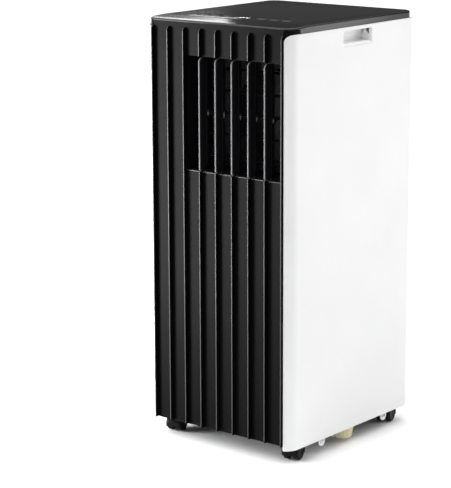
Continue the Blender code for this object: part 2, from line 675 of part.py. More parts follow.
def blower(name, cx, cz, r, y_disc, y_ring, shaft, blades=16):
    """A centrifugal wheel about a line along Y: a disc, a ring and blades between them, on its shaft."""
    low, high = min(y_disc, y_ring), max(y_disc, y_ring)
    into = 1.0 if y_ring > y_disc else -1.0
    vane_list = []
    for k in range(blades):
        a = 2 * math.pi * k / blades
        blade = bm_box((r - 12, low + 1.0, -1.0), (r - 1.5, high - 1.0, 1.0))
        bmesh.ops.rotate(blade, cent=(r * MM, 0, 0), matrix=Matrix.Rotation(math.radians(28), 3, "Y"), verts=blade.verts)
        bmesh.ops.rotate(blade, cent=(0, 0, 0), matrix=Matrix.Rotation(a, 3, "Y"), verts=blade.verts)
        bmesh.ops.translate(blade, vec=Vector((cx, 0, cz)) * MM, verts=blade.verts)
        vane_list.append(blade)
    ring = bm_rod((cx, y_ring - into * 3, cz), (cx, y_ring, cz), r, 24)
    return part(
        name,
        DARK,
        bm_rod((cx, y_disc, cz), (cx, y_disc + into * 3, cz), r, 24),
        [
            ("add", joined(*vane_list)),
            ("add", ring),
            ("cut", bm_rod((cx, y_ring - into * 3.5, cz), (cx, y_ring + into * 5, cz), r - 9.0, 24)),
            ("add", bm_rod((cx, y_disc + into * 2, cz), (cx, y_disc + into * 26, cz), 9.0, 16)),
            ("add", bm_rod((cx, shaft[0], cz), (cx, shaft[1], cz), 4.0, 12)),
        ],
        origin=(cx, y_disc, cz),
    )


ux, uz = UP_FAN
blower("upper_blower_wheel", ux, uz, 72.0, -57.0, 20.0, (-50.0, 68.0))
part(
    "upper_blower_housing",
    GREY,
    bm_box((-70.0, -94.6, 428.0), (131.0, 40.0, 637.0)),
    [
        ("cut", bm_box((-67.5, -92.0, 430.5), (128.5, 37.5, 634.5))),
        ("cut", bm_box((OUT_X[0], -110, OUT_Z[0]), (OUT_X[1], -80, OUT_Z[1]))),
        ("cut", bm_rod((ux, 30, uz), (ux, 50, uz), 62.0, 32)),
    ],
)
part(
    "upper_fan_motor",
    STEEL,
    bm_rod((ux, 48.0, uz), (ux, 90.0, uz), 33.0, 24),
    [
        ("add", bm_box((ux - 84, 40.4, uz - 9), (ux + 84, 48.6, uz + 9))),
        ("cut", bm_rod((ux, 30.0, uz), (ux, 72.0, uz), 4.4, 12)),
    ],
)
lx, lz = LOW_FAN
blower("lower_blower_wheel", lx, lz, 66.0, 46.0, 98.0, (52.0, -6.0))
part(
    "lower_blower_housing",
    GREY,
    bm_box((-88.0, 38.0, 62.0), (88.0, 108.0, 398.0)),
    [
        ("add", bm_rod((0, 106.0, EXHAUST_Z), (0, 145.6, EXHAUST_Z), 62.8, 32)),
        ("cut", bm_box((-85.5, 40.5, 64.5), (85.5, 105.5, 395.5))),
        ("cut", bm_rod((0, 100.0, EXHAUST_Z), (0, 150.0, EXHAUST_Z), 60.4, 32)),
        ("cut", bm_rod((lx, 100.0, lz), (lx, 115.0, lz), 54.0, 32)),
        ("cut", bm_rod((lx, 30.0, lz), (lx, 45.0, lz), 8.0, 16)),
    ],
)
part(
    "lower_fan_motor",
    STEEL,
    bm_rod((lx, -30.0, lz), (lx, 34.5, lz), 32.0, 24),
    [
        ("add", bm_box((lx - 44, 33.5, lz - 16), (lx + 44, 37.6, lz + 16))),
        ("cut", bm_rod((lx, -10.0, lz), (lx, 40.0, lz), 4.4, 12)),
    ],
)


def coil(name, x0, x1, y0, y1, z0, z1, pitch):
    """A finned heat exchanger: a block grooved on both faces, with hairpin tubes out of its ends."""
    grooves = []
    x = x0 + pitch / 2
    while x < x1 - pitch / 3:
        grooves.append(((x - 1.4, y0 - 5, z0 + 5), (x + 1.4, y0 + 6, z1 - 5)))
        grooves.append(((x - 1.4, y1 - 6, z0 + 5), (x + 1.4, y1 + 5, z1 - 5)))
        x += pitch
    bends = []
    z = z0 + 18.0
    while z < z1 - 30:
        for s, edge in ((-1, x0), (1, x1)):
            bends.append(bm_prism(
                arc(edge, z + 9, 12.0, 90 if s < 0 else -90, 270 if s < 0 else 90, 4)
                + arc(edge, z + 9, 6.5, 270 if s < 0 else 90, 90 if s < 0 else -90, 4),
                (y0 + y1) / 2 - 3, (y0 + y1) / 2 + 3, "Y"))
        z += 36.0
    return part(
        name,
        FINS,
        bm_box((x0, y0, z0), (x1, y1, z1)),
        [("add", joined(*bends)), ("cut", boxes(*grooves))],
    )


coil("evaporator_coil", -103.0, 103.0, 106.0, 134.0, 412.0, 648.0, 20.0)
coil("condenser_coil", -103.0, 103.0, 112.0, 142.0, 56.0, 236.0, 20.0)

px, py = -74.0, -76.0
acc = (px + 76.0, py - 12.0)
turned(
    "compressor",
    STEEL,
    [(0, 250.0), (20, 249.0), (38, 243.0), (48, 232.0), (52, 218.0), (52, 90.0), (48, 76.0), (38, 66.0), (0, 62.0)],
    (px, py, 0),
    steps=20,
    extra=[
        ("add", bm_rod((px, py, 56.0), (px, py, 66.0), 58.0, 24)),
        ("add", joined(*[
            bm_rod((px + 46 * math.cos(a), py + 46 * math.sin(a), 34.4), (px + 46 * math.cos(a), py + 46 * math.sin(a), 57.0), 9.0, 12)
            for a in (math.radians(30), math.radians(150), math.radians(270))
        ])),
        ("add", bm_rod((*acc, 92.0), (*acc, 196.0), 18.0, 18)),
        ("add", bm_box((px + 46, py - 15, 130.0), (acc[0], py - 5, 148.0))),
        ("add", bm_rod((px, py, 248.0), (px, py, 256.0), 7.0, 12)),
    ],
)
tube("hot_gas_pipe", COPPER, [(px, py, 256.5)] + smooth_path([
    (px, py, 262.0), (px - 6, py + 8, 280.0), (-104, -20, 290.0), (-115, 40, 286.0),
    (-117, 98, 262.0), (-114, 124, 232.0), (-109.5, 127.0, 212.0)], 11.0), 3.6)
tube("suction_pipe", COPPER, [(acc[0], acc[1], 196.5)] + smooth_path([
    (acc[0], acc[1], 203.0), (acc[0] - 4, acc[1] - 6, 232.0), (-30, -112, 280.0), (-62, -116, 330.0),
    (-82, -110, 372.0), (-82, -110, 405.0), (-82, -105, 418.0), (-86, -80, 422.0), (-86, 0, 422.0),
    (-86, 84, 422.0), (-86, 97, 422.4)], 14.0) + [Vector((-86, 105.5, 422.4))], 3.6)
loop = []
for k in range(25):
    a = 2 * math.pi * k / 10
    loop.append((109 + 9 * math.cos(a), 96 + 9 * math.sin(a), 300.0 + 1.3 * k))
tube("capillary_tube", COPPER, smooth_path([(112.0, 119, 252.0), (118, 108, 262.0), (119.5, 99, 280.0)], 10.0) +
     [Vector(p) for p in loop] + smooth_path([(118, 99, 350.0), (118, 96, 380.0), (118, 96, 418.0), (116.5, 104, 436.0)], 12.0), 1.5)
part("run_capacitor", GREY, bm_rod((-116, 40, 407.0), (-116, 40, 470.0), 18.5, 20))
part(
    "electronics_box",
    DARK,
    bm_box((-137, -130, 480), (-93, -34, 634)),
    [("cut", boxes(((-140, -118, 492), (-135.5, -46, 622)),))],
    bevel=2.0,
    bevel_steps=1,
)
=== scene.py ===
"""Looks of the portable air conditioner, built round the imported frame."""

import json
import math

import bmesh
import bpy
from mathutils import Matrix, Vector


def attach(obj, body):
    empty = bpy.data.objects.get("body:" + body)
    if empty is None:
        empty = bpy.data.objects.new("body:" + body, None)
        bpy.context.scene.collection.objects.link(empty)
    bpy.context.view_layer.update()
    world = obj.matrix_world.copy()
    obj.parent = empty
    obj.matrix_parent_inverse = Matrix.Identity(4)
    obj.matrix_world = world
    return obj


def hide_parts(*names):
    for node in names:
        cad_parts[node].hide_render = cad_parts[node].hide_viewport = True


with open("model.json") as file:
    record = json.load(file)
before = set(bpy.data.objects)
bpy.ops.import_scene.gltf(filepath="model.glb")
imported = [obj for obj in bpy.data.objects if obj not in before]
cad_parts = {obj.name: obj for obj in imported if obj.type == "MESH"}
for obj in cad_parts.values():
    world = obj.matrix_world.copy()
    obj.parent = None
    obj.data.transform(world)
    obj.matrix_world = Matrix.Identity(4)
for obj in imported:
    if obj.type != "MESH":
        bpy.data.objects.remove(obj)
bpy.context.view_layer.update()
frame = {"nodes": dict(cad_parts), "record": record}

MM = 0.001
NODES = frame["nodes"]
BODY_OF = {n: b for b, members in frame["record"]["behaviour"]["bodies"].items() for n in members}
SCENE = bpy.context.scene

# ------------------------------------------------------------------ camera
CAM_AT = Vector((1.894, -2.475, 1.007))
CAM_YAW, CAM_PITCH, CAM_ROLL = math.radians(39.06), math.radians(12.60), math.radians(-0.23)
CAM_F = 1960.6  # focal length in pixels of the 451 x 488 picture


def make_camera():
    data = bpy.data.cameras.new("camera")
    data.sensor_fit = "VERTICAL"
    data.sensor_height = 36.0
    data.sensor_width = 36.0
    data.lens = CAM_F / 488.0 * 36.0
    data.clip_end = 60.0
    made = bpy.data.objects.new("camera", data)
    SCENE.collection.objects.link(made)
    ahead = Vector((-math.sin(CAM_YAW) * math.cos(CAM_PITCH), math.cos(CAM_YAW) * math.cos(CAM_PITCH), -math.sin(CAM_PITCH)))
    right = Vector((math.cos(CAM_YAW), math.sin(CAM_YAW), 0.0))
    up = right.cross(ahead)
    r = right * math.cos(CAM_ROLL) + up * math.sin(CAM_ROLL)
    u = up * math.cos(CAM_ROLL) - right * math.sin(CAM_ROLL)
    turn = Matrix((r, u, -ahead)).transposed().to_4x4()
    made.matrix_world = Matrix.Translation(CAM_AT) @ turn
    SCENE.camera = made


make_camera()

# ------------------------------------------------------------------ materials


def new_material(name):
    mat = bpy.data.materials.new(name)
    mat.use_nodes = True
    nt = mat.node_tree
    return mat, nt, nt.nodes["Principled BSDF"]


def add(nt, kind, **values):
    node = nt.nodes.new(kind)
    for key, value in values.items():
        if key in node.inputs:
            node.inputs[key].default_value = value
        else:
            setattr(node, key, value)
    return node


def noise(nt, coords, scale, detail=3.0, rough=0.5):
    node = add(nt, "ShaderNodeTexNoise")
    node.inputs["Scale"].default_value = scale
    node.inputs["Detail"].default_value = detail
    node.inputs["Roughness"].default_value = rough
    nt.links.new(coords, node.inputs["Vector"])
    return node


def moulded(name, colour, rough, tone=0.05, rough_span=0.06, grain=2200.0, grain_depth=0.018, wave=0.0, coat=0.0,
            metallic=0.0, spec=0.5, tint=None, edge=0.0):
    """Moulded plastic or paint: slow tone drift, patchy roughness, fine spark grain and, where asked, a faint sink wave."""
    mat, nt, shader = new_material(name)
    where = add(nt, "ShaderNodeTexCoord").outputs["Object"]
    drift = noise(nt, where, 7.0, 4.0, 0.55)
    ramp = add(nt, "ShaderNodeValToRGB")
    dark = [c * (1 - tone) for c in colour]
    light = [min(1.0, c * (1 + tone)) for c in (tint or colour)]
    ramp.color_ramp.elements[0].position, ramp.color_ramp.elements[1].position = 0.32, 0.68
    ramp.color_ramp.elements[0].color = (*dark, 1)
    ramp.color_ramp.elements[1].color = (*light, 1)
    nt.links.new(drift.outputs["Fac"], ramp.inputs["Fac"])
    colour_out = ramp.outputs["Color"]
    if edge:
        geo = add(nt, "ShaderNodeNewGeometry")
        lift = add(nt, "ShaderNodeMapRange")
        lift.inputs["From Min"].default_value = 0.52
        lift.inputs["From Max"].default_value = 0.62
        lift.inputs["To Max"].default_value = edge
        nt.links.new(geo.outputs["Pointiness"], lift.inputs["Value"])
        rub = noise(nt, where, 260.0, 3.0)
        both = add(nt, "ShaderNodeMath", operation="MULTIPLY")
        nt.links.new(lift.outputs["Result"], both.inputs[0])
        nt.links.new(rub.outputs["Fac"], both.inputs[1])
        mix = add(nt, "ShaderNodeMix", data_type="RGBA")
        nt.links.new(both.outputs[0], mix.inputs["Factor"])
        nt.links.new(colour_out, mix.inputs[6])
        mix.inputs[7].default_value = (*[min(1.0, c * 1.8 + 0.04) for c in colour], 1)
        colour_out = mix.outputs[2]
    nt.links.new(colour_out, shader.inputs["Base Color"])
    patch = noise(nt, where, 34.0, 5.0, 0.6)
    span = add(nt, "ShaderNodeMapRange")
    span.inputs["From Min"].default_value = 0.3
    span.inputs["From Max"].default_value = 0.7
    span.inputs["To Min"].default_value = rough - rough_span / 2
    span.inputs["To Max"].default_value = rough + rough_span / 2
    nt.links.new(patch.outputs["Fac"], span.inputs["Value"])
    nt.links.new(span.outputs["Result"], shader.inputs["Roughness"])
    spark = noise(nt, where, grain, 2.0)
    bump = add(nt, "ShaderNodeBump")
    bump.inputs["Strength"].default_value = 0.35
    bump.inputs["Distance"].default_value = grain_depth * MM
    nt.links.new(spark.outputs["Fac"], bump.inputs["Height"])
    last = bump
    if wave:
        slow = noise(nt, where, 11.0, 1.0)
        sink = add(nt, "ShaderNodeBump")
        sink.inputs["Strength"].default_value = 0.5
        sink.inputs["Distance"].default_value = wave * MM
        nt.links.new(slow.outputs["Fac"], sink.inputs["Height"])
        nt.links.new(bump.outputs["Normal"], sink.inputs["Normal"])
        last = sink
    nt.links.new(last.outputs["Normal"], shader.inputs["Normal"])
    shader.inputs["Metallic"].default_value = metallic
    shader.inputs["Specular IOR Level"].default_value = spec
    if coat:
        shader.inputs["Coat Weight"].default_value = coat
        shader.inputs["Coat Roughness"].default_value = 0.08
    return mat


def brushed(name, colour, rough, stretch=(1, 1, 60), scale=60.0):
    """Bare metal with fine drawn lines."""
    mat, nt, shader = new_material(name)
    where = add(nt, "ShaderNodeTexCoord").outputs["Object"]
    lay = add(nt, "ShaderNodeMapping")
    lay.inputs["Scale"].default_value = stretch
    nt.links.new(where, lay.inputs["Vector"])
    lines = noise(nt, lay.outputs["Vector"], scale, 4.0, 0.6)
    ramp = add(nt, "ShaderNodeValToRGB")
    ramp.color_ramp.elements[0].position, ramp.color_ramp.elements[1].position = 0.3, 0.7
    ramp.color_ramp.elements[0].color = (*[c * 0.82 for c in colour], 1)
    ramp.color_ramp.elements[1].color = (*[min(1, c * 1.08) for c in colour], 1)
    nt.links.new(lines.outputs["Fac"], ramp.inputs["Fac"])
    nt.links.new(ramp.outputs["Color"], shader.inputs["Base Color"])
    span = add(nt, "ShaderNodeMapRange")
    span.inputs["To Min"].default_value = rough - 0.08
    span.inputs["To Max"].default_value = rough + 0.10
    nt.links.new(lines.outputs["Fac"], span.inputs["Value"])
    nt.links.new(span.outputs["Result"], shader.inputs["Roughness"])
    bump = add(nt, "ShaderNodeBump")
    bump.inputs["Strength"].default_value = 0.25
    bump.inputs["Distance"].default_value = 0.03 * MM
    nt.links.new(lines.outputs["Fac"], bump.inputs["Height"])
    nt.links.new(bump.outputs["Normal"], shader.inputs["Normal"])
    shader.inputs["Metallic"].default_value = 1.0
    return mat


def frosted(name, colour, rough):
    """Unpigmented nylon: milky, a little see-through."""
    mat, nt, shader = new_material(name)
    where = add(nt, "ShaderNodeTexCoord").outputs["Object"]
    cloud = noise(nt, where, 60.0, 4.0, 0.6)
    ramp = add(nt, "ShaderNodeValToRGB")
    ramp.color_ramp.elements[0].position, ramp.color_ramp.elements[1].position = 0.3, 0.7
    ramp.color_ramp.elements[0].color = (*[c * 0.86 for c in colour], 1)
    ramp.color_ramp.elements[1].color = (*[min(1, c * 1.06) for c in colour], 1)
    nt.links.new(cloud.outputs["Fac"], ramp.inputs["Fac"])
    nt.links.new(ramp.outputs["Color"], shader.inputs["Base Color"])
    span = add(nt, "ShaderNodeMapRange")
    span.inputs["To Min"].default_value = rough - 0.06
    span.inputs["To Max"].default_value = rough + 0.06
    nt.links.new(cloud.outputs["Fac"], span.inputs["Value"])
    nt.links.new(span.outputs["Result"], shader.inputs["Roughness"])
    bump = add(nt, "ShaderNodeBump")
    bump.inputs["Strength"].default_value = 0.3
    bump.inputs["Distance"].default_value = 0.05 * MM
    nt.links.new(cloud.outputs["Fac"], bump.inputs["Height"])
    nt.links.new(bump.outputs["Normal"], shader.inputs["Normal"])
    shader.inputs["Transmission Weight"].default_value = 0.35
    shader.inputs["IOR"].default_value = 1.45
    return mat


def glowing(name, colour, strength):
    mat, nt, shader = new_material(name)
    where = add(nt, "ShaderNodeTexCoord").outputs["Object"]
    fleck = noise(nt, where, 700.0, 2.0)
    ramp = add(nt, "ShaderNodeValToRGB")
    ramp.color_ramp.elements[0].color = (*[c * 0.85 for c in colour], 1)
    ramp.color_ramp.elements[1].color = (*colour, 1)
    nt.links.new(fleck.outputs["Fac"], ramp.inputs["Fac"])
    nt.links.new(ramp.outputs["Color"], shader.inputs["Base Color"])
    nt.links.new(ramp.outputs["Color"], shader.inputs["Emission Color"])
    shader.inputs["Emission Strength"].default_value = strength
    shader.inputs["Roughness"].default_value = 0.3
    return mat


BLACK = moulded("satin_black_plastic", (0.0021, 0.0021, 0.0023), 0.45, tone=0.12, rough_span=0.03, wave=0.02, edge=0.2, spec=0.03)
LID = moulded("lid_black_plastic", (0.006, 0.006, 0.0065), 0.15, tone=0.06, rough_span=0.01, grain_depth=0.001, edge=0.2, spec=0.35)
WHITE = moulded("white_plastic", (0.715, 0.715, 0.718), 0.40, tone=0.012, rough_span=0.05, wave=0.03, tint=(0.725, 0.725, 0.727))
# The side panels' white plastic made lighter for the recessed grip cup: painted light against the pocket's shade.
GRIP_LIGHTENED_WHITE = moulded("grip_white_with_painted_light", (0.860, 0.860, 0.862), 0.42, tone=0.012, rough_span=0.05, wave=0.03, tint=(0.870, 0.870, 0.872))
GLOSS = moulded("gloss_black_overlay", (0.008, 0.008, 0.009), 0.13, tone=0.06, rough_span=0.01, grain_depth=0.0006)
KEYCAP = moulded("keycap_black", (0.028, 0.028, 0.030), 0.36, tone=0.1)
DARK = moulded("inner_black_plastic", (0.0050, 0.0050, 0.0062), 0.5, tone=0.15, spec=0.12)
GREY = moulded("grey_plastic", (0.24, 0.24, 0.25), 0.5, tone=0.08)
CASTER = moulded("caster_black", (0.0022, 0.0022, 0.0022), 0.36, tone=0.15, grain=1400.0, grain_depth=0.03, edge=0.3, spec=0.10)
# Lighter grey on each louver blade's rounded front edge: painted highlight, not a trim.
LOUVER_HIGHLIGHT = moulded("louver_painted_highlight", (0.10, 0.10, 0.104), 0.42, tone=0.05, rough_span=0.03, grain_depth=0.008, spec=0.25)
# Lighter grey for thin strips on the rib tips, the outlet's lower lip and the lid's front edge: painted highlight for
# the light those rounded edges catch.
RIB_AND_LID_HIGHLIGHT = moulded("rib_and_lid_painted_highlight", (0.040, 0.040, 0.042), 0.42, tone=0.06, rough_span=0.03, grain_depth=0.008, spec=0.22)
BLADE = moulded("louver_black", (0.0070, 0.0070, 0.0085), 0.34, tone=0.12, spec=0.15)
NYLON = frosted("natural_nylon", (0.86, 0.80, 0.52), 0.34)
STEEL = moulded("painted_steel", (0.018, 0.018, 0.02), 0.32, tone=0.15, grain=500.0, grain_depth=0.06, coat=0.3)
COPPER = brushed("copper", (0.78, 0.42, 0.26), 0.28)
FINS = brushed("aluminium_fins", (0.78, 0.79, 0.80), 0.34, stretch=(60, 1, 1))
BOARD = moulded("circuit_board", (0.03, 0.16, 0.07), 0.42, tone=0.2, grain=900.0)
SCREW = brushed("screw_steel", (0.62, 0.62, 0.63), 0.30, stretch=(1, 1, 1), scale=700.0)
MESH = moulded("filter_mesh", (0.045, 0.045, 0.05), 0.6, tone=0.2)
MARK = moulded("print_white", (0.62, 0.62, 0.62), 0.5, tone=0.05)
GLOW = glowing("display_glow", (0.92, 0.96, 1.0), 1.6)

SLOT_MATERIAL = {
    "satin_black_plastic": BLACK, "lid_black_plastic": LID, "white_plastic": WHITE, "gloss_black_overlay": GLOSS,
    "keycap_black": KEYCAP, "inner_black_plastic": DARK, "grey_plastic": GREY, "caster_black": CASTER,
    "natural_nylon": NYLON, "painted_steel": STEEL, "copper": COPPER, "aluminium_fins": FINS, "circuit_board": BOARD,
}
SLOT_OF = {s["node"]: s["material_slot"] for s in frame["record"]["subparts"]}
for node_name, node_object in NODES.items():
    for material_slot in node_object.material_slots:
        material_slot.material = SLOT_MATERIAL[SLOT_OF[node_name]]
    if not node_object.material_slots:
        node_object.data.materials.append(SLOT_MATERIAL[SLOT_OF[node_name]])

# ------------------------------------------------------------------ shape helpers


def arc(cx, cy, r, start, end, steps):
    found = []
    for i in range(steps + 1):
        a = math.radians(start + (end - start) * i / steps)
        found.append((cx + r * math.cos(a), cy + r * math.sin(a)))
    return found


def rounded(x0, x1, y0, y1, rf, rb, steps=10):
    """Counter-clockwise outline; corners at y0 have radius rf, those at y1 rb."""
    return (
        arc(x0 + rf, y0 + rf, rf, 180, 270, steps)
        + arc(x1 - rf, y0 + rf, rf, 270, 360, steps)
        + arc(x1 - rb, y1 - rb, rb, 0, 90, steps)
        + arc(x0 + rb, y1 - rb, rb, 90, 180, steps)
    )


def area2(loop):
    return sum(a[0] * b[1] - b[0] * a[1] for a, b in zip(loop, loop[1:] + loop[:1]))


def inset(loop, d):
    """The outline moved inwards by d."""
    if area2(loop) < 0:
        return inset(loop[::-1], d)[::-1]
    n = len(loop)
    found = []
    for i in range(n):
        p, q, r = Vector(loop[i - 1]), Vector(loop[i]), Vector(loop[(i + 1) % n])
        a, b = q - p, r - q
        if a.length < 1e-9:
            a = b
        if b.length < 1e-9:
            b = a
        na = Vector((-a.y, a.x)).normalized()
        nb = Vector((-b.y, b.x)).normalized()
        m = na + nb
        if m.length < 1e-6:
            m = na
        m.normalize()
        k = max(0.35, m.dot(na))
        found.append(tuple(q + m * (d / k)))
    return found


PLACE = {
    "Z": lambda u, v, w: (u, v, w),
    "X": lambda u, v, w: (w, u, v),
    "Y": lambda u, v, w: (u, w, v),
}


def loft(rings, cap=True):
    """Closed rings of points, joined in order."""
    bm = bmesh.new()
    rows = [[bm.verts.new(Vector(p) * MM) for p in ring] for ring in rings]
    n = len(rows[0])
    for a, b in zip(rows, rows[1:]):
        for i in range(n):
            j = (i + 1) % n
            bm.faces.new((a[i], a[j], b[j], b[i]))
    if cap:
        bm.faces.new(rows[0][::-1])
        bm.faces.new(rows[-1])
    bmesh.ops.recalc_face_normals(bm, faces=bm.faces)
    return bm


def slab(outline, low, high, along="Z", r=0.0, steps=3, r_low=None):
    """An outline given thickness, with its edges rounded to r at both ends."""
    put = PLACE[along]
    rl = r if r_low is None else r_low
    rows = []
    for k in range(steps + 1) if rl else [0]:
        a = math.pi / 2 * k / steps if rl else 0
        d = rl * (1 - math.sin(a)) if rl else 0
        h = rl * (1 - math.cos(a)) if rl else 0
        rows.append((low + h, d))
    upper = []
    for k in range(steps + 1) if r else [0]:
        a = math.pi / 2 * k / steps if r else 0
        upper.append((high - r * (1 - math.cos(a)) if r else high, r * (1 - math.sin(a)) if r else 0))
    rows += upper[::-1]
    rings = []
    for h, d in rows:
        loop = inset(outline, d) if d > 1e-6 else outline
        rings.append([put(u, v, h) for u, v in loop])
    return loft(rings)


def box(lo, hi, r=0.0):
    """A box; with r its long edges along Z are rounded and its ends softened."""
    if not r:
        return slab([(lo[0], lo[1]), (hi[0], lo[1]), (hi[0], hi[1]), (lo[0], hi[1])], lo[2], hi[2])
    return slab(rounded(lo[0], hi[0], lo[1], hi[1], r, r, 4), lo[2], hi[2], r=min(r, (hi[2] - lo[2]) / 2.5))


def lathe(profile, centre, axis="Z", steps=48):
    """A closed turned body: profile is (radius, height) from the axis, out, and back to it."""
    bm = bmesh.new()
    put = {
        "Z": lambda r, a, h: (r * math.cos(a), r * math.sin(a), h),
        "Y": lambda r, a, h: (r * math.cos(a), h, r * math.sin(a)),
        "X": lambda r, a, h: (h, r * math.cos(a), r * math.sin(a)),
    }[axis]
    c = Vector(centre)
    rows = []
    for r, h in profile:
        if r < 1e-6:
            rows.append([bm.verts.new((Vector(put(0, 0, h)) + c) * MM)])
        else:
            rows.append([bm.verts.new((Vector(put(r, 2 * math.pi * k / steps, h)) + c) * MM) for k in range(steps)])
    pairs = list(zip(rows, rows[1:]))
    if len(rows[0]) > 1 and len(rows[-1]) > 1:
        pairs.append((rows[-1], rows[0]))
    for a, b in pairs:
        for k in range(steps):
            j = (k + 1) % steps
            if len(a) == 1 and len(b) == 1:
                continue
            if len(a) == 1:
                bm.faces.new((a[0], b[j], b[k]))
            elif len(b) == 1:
                bm.faces.new((a[k], a[j], b[0]))
            else:
                bm.faces.new((a[k], a[j], b[j], b[k]))
    bmesh.ops.recalc_face_normals(bm, faces=bm.faces)
    return bm


def rod(a, b, r, steps=20, soft=0.0):
    """A round bar from a to b, its ends rounded off by soft."""
    a, b = Vector(a), Vector(b)
    length = (b - a).length
    prof = [(0, 0), (r - soft, 0), (r, soft), (r, length - soft), (r - soft, length), (0, length)] if soft else [
        (0, 0), (r, 0), (r, length), (0, length)]
    bm = lathe(prof, (0, 0, 0), "Z", steps)
    turn = (b - a).to_track_quat("Z", "Y").to_matrix().to_4x4()
    bmesh.ops.transform(bm, matrix=Matrix.Translation(a * MM) @ turn, verts=bm.verts)
    return bm


def joined(*pieces):
    whole = bmesh.new()
    for bm in pieces:
        mesh = bpy.data.meshes.new("part")
        bm.to_mesh(mesh)
        bm.free()
        whole.from_mesh(mesh)
        bpy.data.meshes.remove(mesh)
    return whole


def turned_z(bm, centre, angle):
    bmesh.ops.rotate(bm, cent=Vector(centre) * MM, matrix=Matrix.Rotation(angle, 3, "Z"), verts=bm.verts)
    return bm


def plain(bm):
    mesh = bpy.data.meshes.new("tool")
    bm.to_mesh(mesh)
    bm.free()
    made = bpy.data.objects.new("tool", mesh)
    SCENE.collection.objects.link(made)
    return made


def carve(bm, steps):
    """bm after exact unions and cuts with the given bmeshes, in order."""
    base = plain(bm)
    tools = []
    for kind, other in steps:
        tool = plain(other)
        tools.append(tool)
        modifier = base.modifiers.new(kind, "BOOLEAN")
        modifier.operation = "UNION" if kind == "add" else "DIFFERENCE"
        modifier.solver = "EXACT"
        modifier.object = tool
    graph = bpy.context.evaluated_depsgraph_get()
    mesh = bpy.data.meshes.new_from_object(base.evaluated_get(graph))
    result = bmesh.new()
    result.from_mesh(mesh)
    bpy.data.meshes.remove(mesh)
    for o in [base, *tools]:
        data = o.data
        bpy.data.objects.remove(o, do_unlink=True)
        bpy.data.meshes.remove(data)
    bmesh.ops.remove_doubles(result, verts=result.verts, dist=2e-6)
    bmesh.ops.dissolve_degenerate(result, edges=result.edges, dist=1e-6)
    return result


def piece(name, bm, mat, body, stands_for=(), sharp=34.0, soften=0.0, soften_steps=2, weighted=True):
    mesh = bpy.data.meshes.new(name)
    bm.to_mesh(mesh)
    bm.free()
    mesh.materials.append(mat)
    made = bpy.data.objects.new(name, mesh)
    SCENE.collection.objects.link(made)
    if soften:
        rim = made.modifiers.new("soft", "BEVEL")
        rim.width = soften * MM
        rim.segments = soften_steps
        rim.limit_method = "ANGLE"
        rim.angle_limit = math.radians(40)
        rim.use_clamp_overlap = True
        graph = bpy.context.evaluated_depsgraph_get()
        baked = bpy.data.meshes.new_from_object(made.evaluated_get(graph))
        made.modifiers.clear()
        made.data = baked
        bpy.data.meshes.remove(mesh)
        baked.name = name
        mesh = baked
    mesh.shade_smooth()
    mesh.set_sharp_from_angle(angle=math.radians(sharp))
    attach(made, body)
    if stands_for:
        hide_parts(*stands_for)
    return made


# ------------------------------------------------------------------ sizes shared with the solids
HALF_W, Y_BACK, Y_FACE, RIB_OUT = 144.0, 166.0, -159.5, 6.5
RIB_X = [(i - 4) * 32.0 for i in range(9)]
Z_TOP, Z_SIDE_TOP, Z_SIDE_BOT, Z_FRONT_BOT = 686.0, 674.6, 26.0, 33.0
OUT_X, OUT_Z = (-62.4, 124.0), (450.0, 630.0)
LOUVER_X, LOUVER_Y = (-32.0, 0.0, 32.0, 64.0, 96.0), -148.0
VANE_Z, VANE_Y = (471.0, 505.5, 540.0, 574.5, 609.0), -121.0
KEY_X, KEY_Y = (-82.0, -58.0, -34.0, 34.0, 58.0, 82.0), -92.0
KEY_NAMES = ("key_power", "key_mode", "key_timer", "key_fan", "key_down", "key_up")
SIDE_CY, R_FRONT, R_REAR, SKIN = -139.5, 22.5, 12.0, 2.6
WRAP_CX, WRAP_CY, WRAP_X = 121.5, -142.0, 129.6
LUG_Y = (-71.0, 100.8)
EXHAUST_Z = 330.0

# ------------------------------------------------------------------ front panel


def rib_rows(x, z0, z1, crest, half, root, proud, corner, back):
    """Sections up an upright fin; its top curls back into the panel."""
    def section(p, z):
        p = max(0.05, p + proud)
        rc = min(corner, p * 0.6)
        pts = [(x - root, Y_FACE + 0.9 if back is None else Y_FACE - p + back, z)]
        pts += [(u, v, z) for u, v in arc(x - half + rc, Y_FACE - p + rc, rc, 180, 270, 5)]
        pts += [(u, v, z) for u, v in arc(x + half - rc, Y_FACE - p + rc, rc, 270, 360, 5)]
        pts.append((x + root, Y_FACE + 0.9 if back is None else Y_FACE - p + back, z))
        return pts

    rows = [section(RIB_OUT - 1.0, z0), section(RIB_OUT - 0.3, z0 + 0.3), section(RIB_OUT, z0 + 1.0)]
    if crest:
        for k in range(11):
            a = math.pi / 2 * k / 10
            rows.append(section(RIB_OUT * math.cos(a), z1 - RIB_OUT + RIB_OUT * math.sin(a)))
    else:
        rows += [section(RIB_OUT, z1 - 1.0), section(RIB_OUT - 0.3, z1 - 0.3), section(RIB_OUT - 1.0, z1)]
    return rows


def rib(x, z0, z1, crest=True):
    return loft(rib_rows(x, z0, z1, crest, 1.28, 1.7, -0.06, 0.45, None))


# A thin lighter strip over a rib's tip: painted highlight.
def rib_line(x, z0, z1, crest=True):
    return loft(rib_rows(x, z0 + 0.2, z1, crest, 0.86, 0.80, -0.01, 0.3, 0.34)[: -2 if crest else None])


def corner_wall(s, r_out, r_in, start, z0, z1):
    pts = arc(WRAP_CX, WRAP_CY, r_out, start, 0, 16) + arc(WRAP_CX, WRAP_CY, r_in, 0, start, 16)
    return slab([(s * x, y) for x, y in pts], z0, z1)


